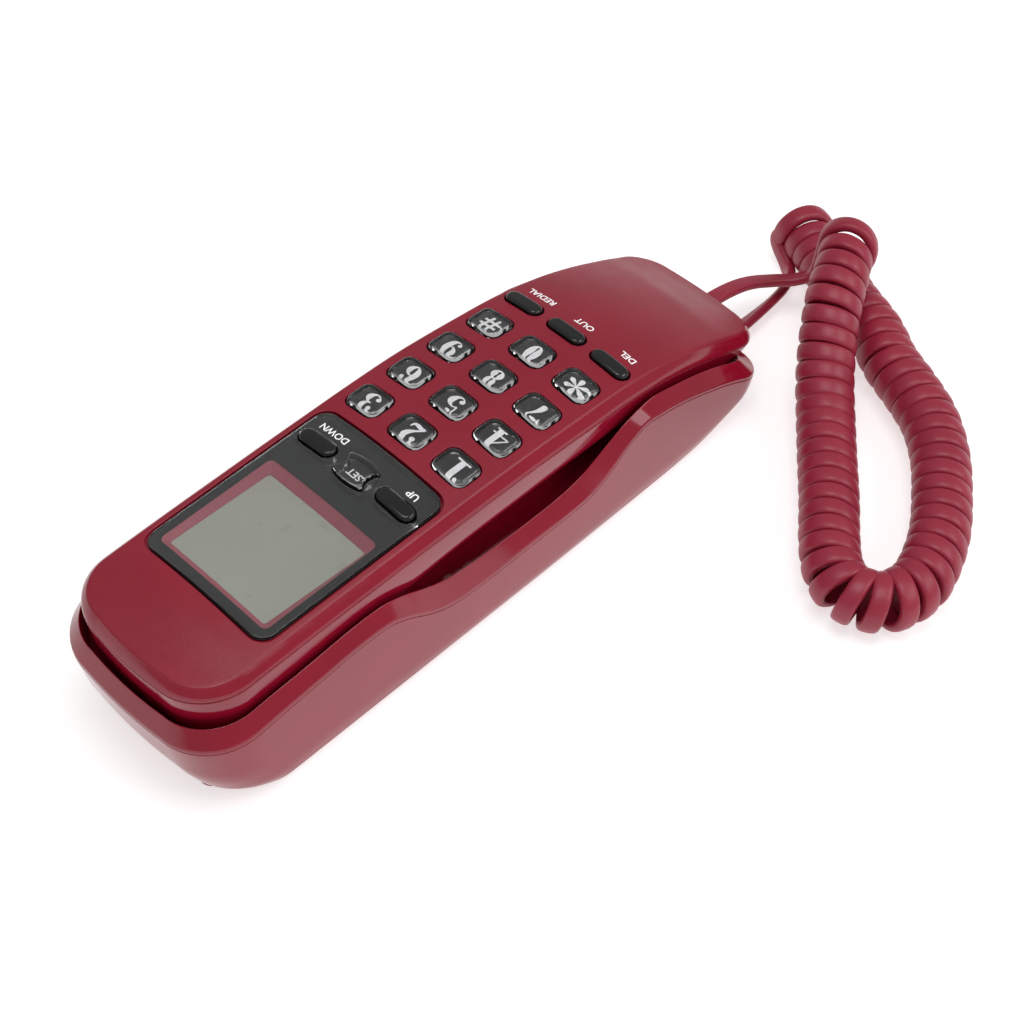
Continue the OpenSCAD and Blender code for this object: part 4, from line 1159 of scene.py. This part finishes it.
# ---- screws, jacks and plugs
def screws(name, body, places, seat_fn, shank, node_name):
    """Pan heads with a cross recess, facing down."""
    form = Form()
    for sx, sy in places:
        seat = seat_fn(sx, sy)
        low = seat - 1.6
        n = 32
        arms = []
        for i in range(n):
            a = 2 * math.pi * i / n
            k = abs(math.cos(2 * a))
            arms.append((sx + (0.35 + 0.95 * k ** 3) * math.cos(a), sy + (0.35 + 0.95 * k ** 3) * math.sin(a)))
        slot_top = ring(arms, level(low))
        slot_low = [(sx + (x - sx) * 0.6, sy + (y - sy) * 0.6, low + 0.9) for x, y in arms]
        form.cap(slot_low)
        sizes = [(1.9, low + 0.02), (2.25, low + 0.2), (2.4, low + 0.55), (2.4, seat), (shank, seat)]
        sizes += [(shank - (0.22 if j % 2 else 0.0), seat + 0.3 + j * 0.4) for j in range(22)]
        rows = [slot_low, slot_top] + [ring(circle(sx, sy, r, 0, n), level(z)) for r, z in sizes]
        form.skin(rows)
        form.cap(rows[-1])
    form.make(name, body, [steel_mat], (node_name,), "steel", sharp=50)


SHANK, BASE_SEAT, HAND_SEAT = 1.15, 3.4, 2.0
screws("case_screws_base", "base", base_screws, level(BASE_SEAT), SHANK, "base_screws")
screws("case_screws_handset", "handset", hand_screws, section(back_z, HAND_SEAT), SHANK, "handset_screws")


def box_form(form, x0, x1, y0, y1, z0, z1, soft=0.15, mat=0):
    """A block with softened edges in plan and height."""
    def plan(g):
        return rrect((x0 + x1) / 2, (y0 + y1) / 2, x1 - x0, y1 - y0, soft, g, arc=3, edge=4)

    rows = [ring(plan(g), level(z)) for g, z in (
        (-soft * 0.9, z1), (0, z1 - soft), (0, z0 + soft), (-soft * 0.9, z0))]
    form.block(rows, level(z1), level(z0), 8, 8, mat)


CONTACT_PITCH = 1.02


def jack(name, body, node_name, x, y, z, w):
    """A modular socket: four walls, a back and its row of gold contacts."""
    form = Form()
    o, i, t = w / 2 + 0.9, w / 2 + 0.1, 5.2 / 2
    back, high, low = y + 13.98, z + t + 0.07, z - t - 0.07
    box_form(form, x - o, x + o, y, y + 14, z + t + 0.06, z + t + 0.5, 0.1)
    box_form(form, x - o, x + o, y, y + 14, z - t - 0.5, z - t - 0.06, 0.1)
    box_form(form, x - o, x - i, y + 0.02, back, low, high, 0.1)
    box_form(form, x + i, x + o, y + 0.02, back, low, high, 0.1)
    box_form(form, x - i - 0.01, x + i + 0.01, y + 12.5, back, low, high, 0.1)
    for k in range(4):
        cx = x + (k - 1.5) * CONTACT_PITCH
        box_form(form, cx - 0.2, cx + 0.2, y + 9.5, y + 12.5, z + t - 0.35, high, 0.05, 1)
    form.make(name, body, [black_satin, brass_mat], (node_name,), "black_plastic")


SOCKET_X, SOCKET_Y, SOCKET_Z = 9, -76, 6.4
jack("socket_handset", "handset", "handset_jack", JACK_X, JACK_Y, JACK_Z, 7.8)
jack("socket_base_cord", "base", "base_cord_jack", -SOCKET_X, SOCKET_Y, SOCKET_Z, 7.8)
jack("socket_line", "base", "line_jack", SOCKET_X, SOCKET_Y, SOCKET_Z, 9.7)


def plug(name, body, node_name, x, y, z):
    """A clear modular plug with its latch below and four gold contacts."""
    form = Form()
    w, t = 7.6 / 2, 5.2 / 2
    box_form(form, x - w, x - 2.45, y + 0.2, y + 12, z - t, z + 1.6, 0.2)
    box_form(form, x + 2.45, x + w, y + 0.2, y + 12, z - t, z + 1.6, 0.2)
    box_form(form, x - w, x + w, y + 0.2, y + 12, z + 1.6, z + t, 0.2)
    box_form(form, x - 2.5, x + 2.5, y + 1.1, y + 12, z - t + 0.9, z + 1.6, 0.1)
    box_form(form, x - 1.6, x + 1.6, y + 1.2, y + 10, z - t, z - t + 0.7, 0.15)
    for k in range(4):
        cx = x + (k - 1.5) * CONTACT_PITCH
        box_form(form, cx - 0.2, cx + 0.2, y + 8.8, y + 11.8, z + t - 1.2, z + t + 0.02, 0.05, 1)
    form.make(name, body, [clear_plug, brass_mat], (node_name,), "plug")


plug("plug_handset", "handset", "handset_plug", JACK_X, JACK_Y, JACK_Z)
plug("plug_base", "base", "base_plug", -SOCKET_X, SOCKET_Y, SOCKET_Z)

# ---- CAD nodes that stay as they are
for names, mat in (
    (("base_board", "display_board", "key_board"), board_mat),
    (("ringer", "hook_switch"), black_satin),
    (("hook_spring", "receiver", "microphone"), steel_mat),
    (("receiver_gasket", "microphone_boot", "key_membrane", "display_connector"), rubber_mat),
):
    for name in names:
        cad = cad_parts[name]
        cad.data.materials.clear()
        cad.data.materials.append(mat)

# ---- floor, world and lights
FLOOR_HALF, FLOOR_Z = 4.0, -0.0002
floor_mesh = bpy.data.meshes.new("floor")
corners = [(sx * FLOOR_HALF, sy * FLOOR_HALF, FLOOR_Z) for sx, sy in ((-1, -1), (1, -1), (1, 1), (-1, 1))]
floor_mesh.from_pydata(corners, [], [(0, 1, 2, 3)])
floor = bpy.data.objects.new("floor", floor_mesh)
bpy.context.scene.collection.objects.link(floor)
m, t, s = new_material("paper_white", Roughness=0.9)
vary(t, s, "Base Color", noise(t, 3), (0.62, 0.62, 0.62), (0.66, 0.66, 0.66))
# the floor glows a little near the phone, so that it stays white to the edge of the picture
s.inputs["Specular IOR Level"].default_value = 0.0
s.inputs["Emission Color"].default_value = (1, 1, 1, 1)
far = node(t, "ShaderNodeVectorMath", operation="LENGTH")
t.links.new(node(t, "ShaderNodeTexCoord").outputs["Object"], far.inputs[0])
fade = node(t, "ShaderNodeMapRange", From_Min=0.35, From_Max=0.9, To_Min=0.62, To_Max=0.05)
t.links.new(far.outputs["Value"], fade.inputs["Value"])
t.links.new(fade.outputs["Result"], s.inputs["Emission Strength"])
floor_mesh.materials.append(m)

world = bpy.data.worlds.new("world")
bpy.context.scene.world = world
world.use_nodes = True
world.node_tree.nodes["Background"].inputs["Color"].default_value = (1, 1, 1, 1)
world.node_tree.nodes["Background"].inputs["Strength"].default_value = 0.42


def area(name, at_point, target, size, power):
    """A soft box of that size, turned to a target."""
    data = bpy.data.lights.new(name, "AREA")
    data.shape = "RECTANGLE"
    data.size, data.size_y = size
    data.energy = power
    light = bpy.data.objects.new(name, data)
    light.location = at_point
    light.rotation_euler = (Vector(target) - Vector(at_point)).to_track_quat("-Z", "Y").to_euler()
    bpy.context.scene.collection.objects.link(light)


area("overhead_box", (-0.05, 0.05, 1.3), (0, 0, 0), (0.7, 0.7), 5.6)
area("side_box", (-0.73, -0.54, 0.78), (0, 0, 0), (0.9, 0.5), 4.4)
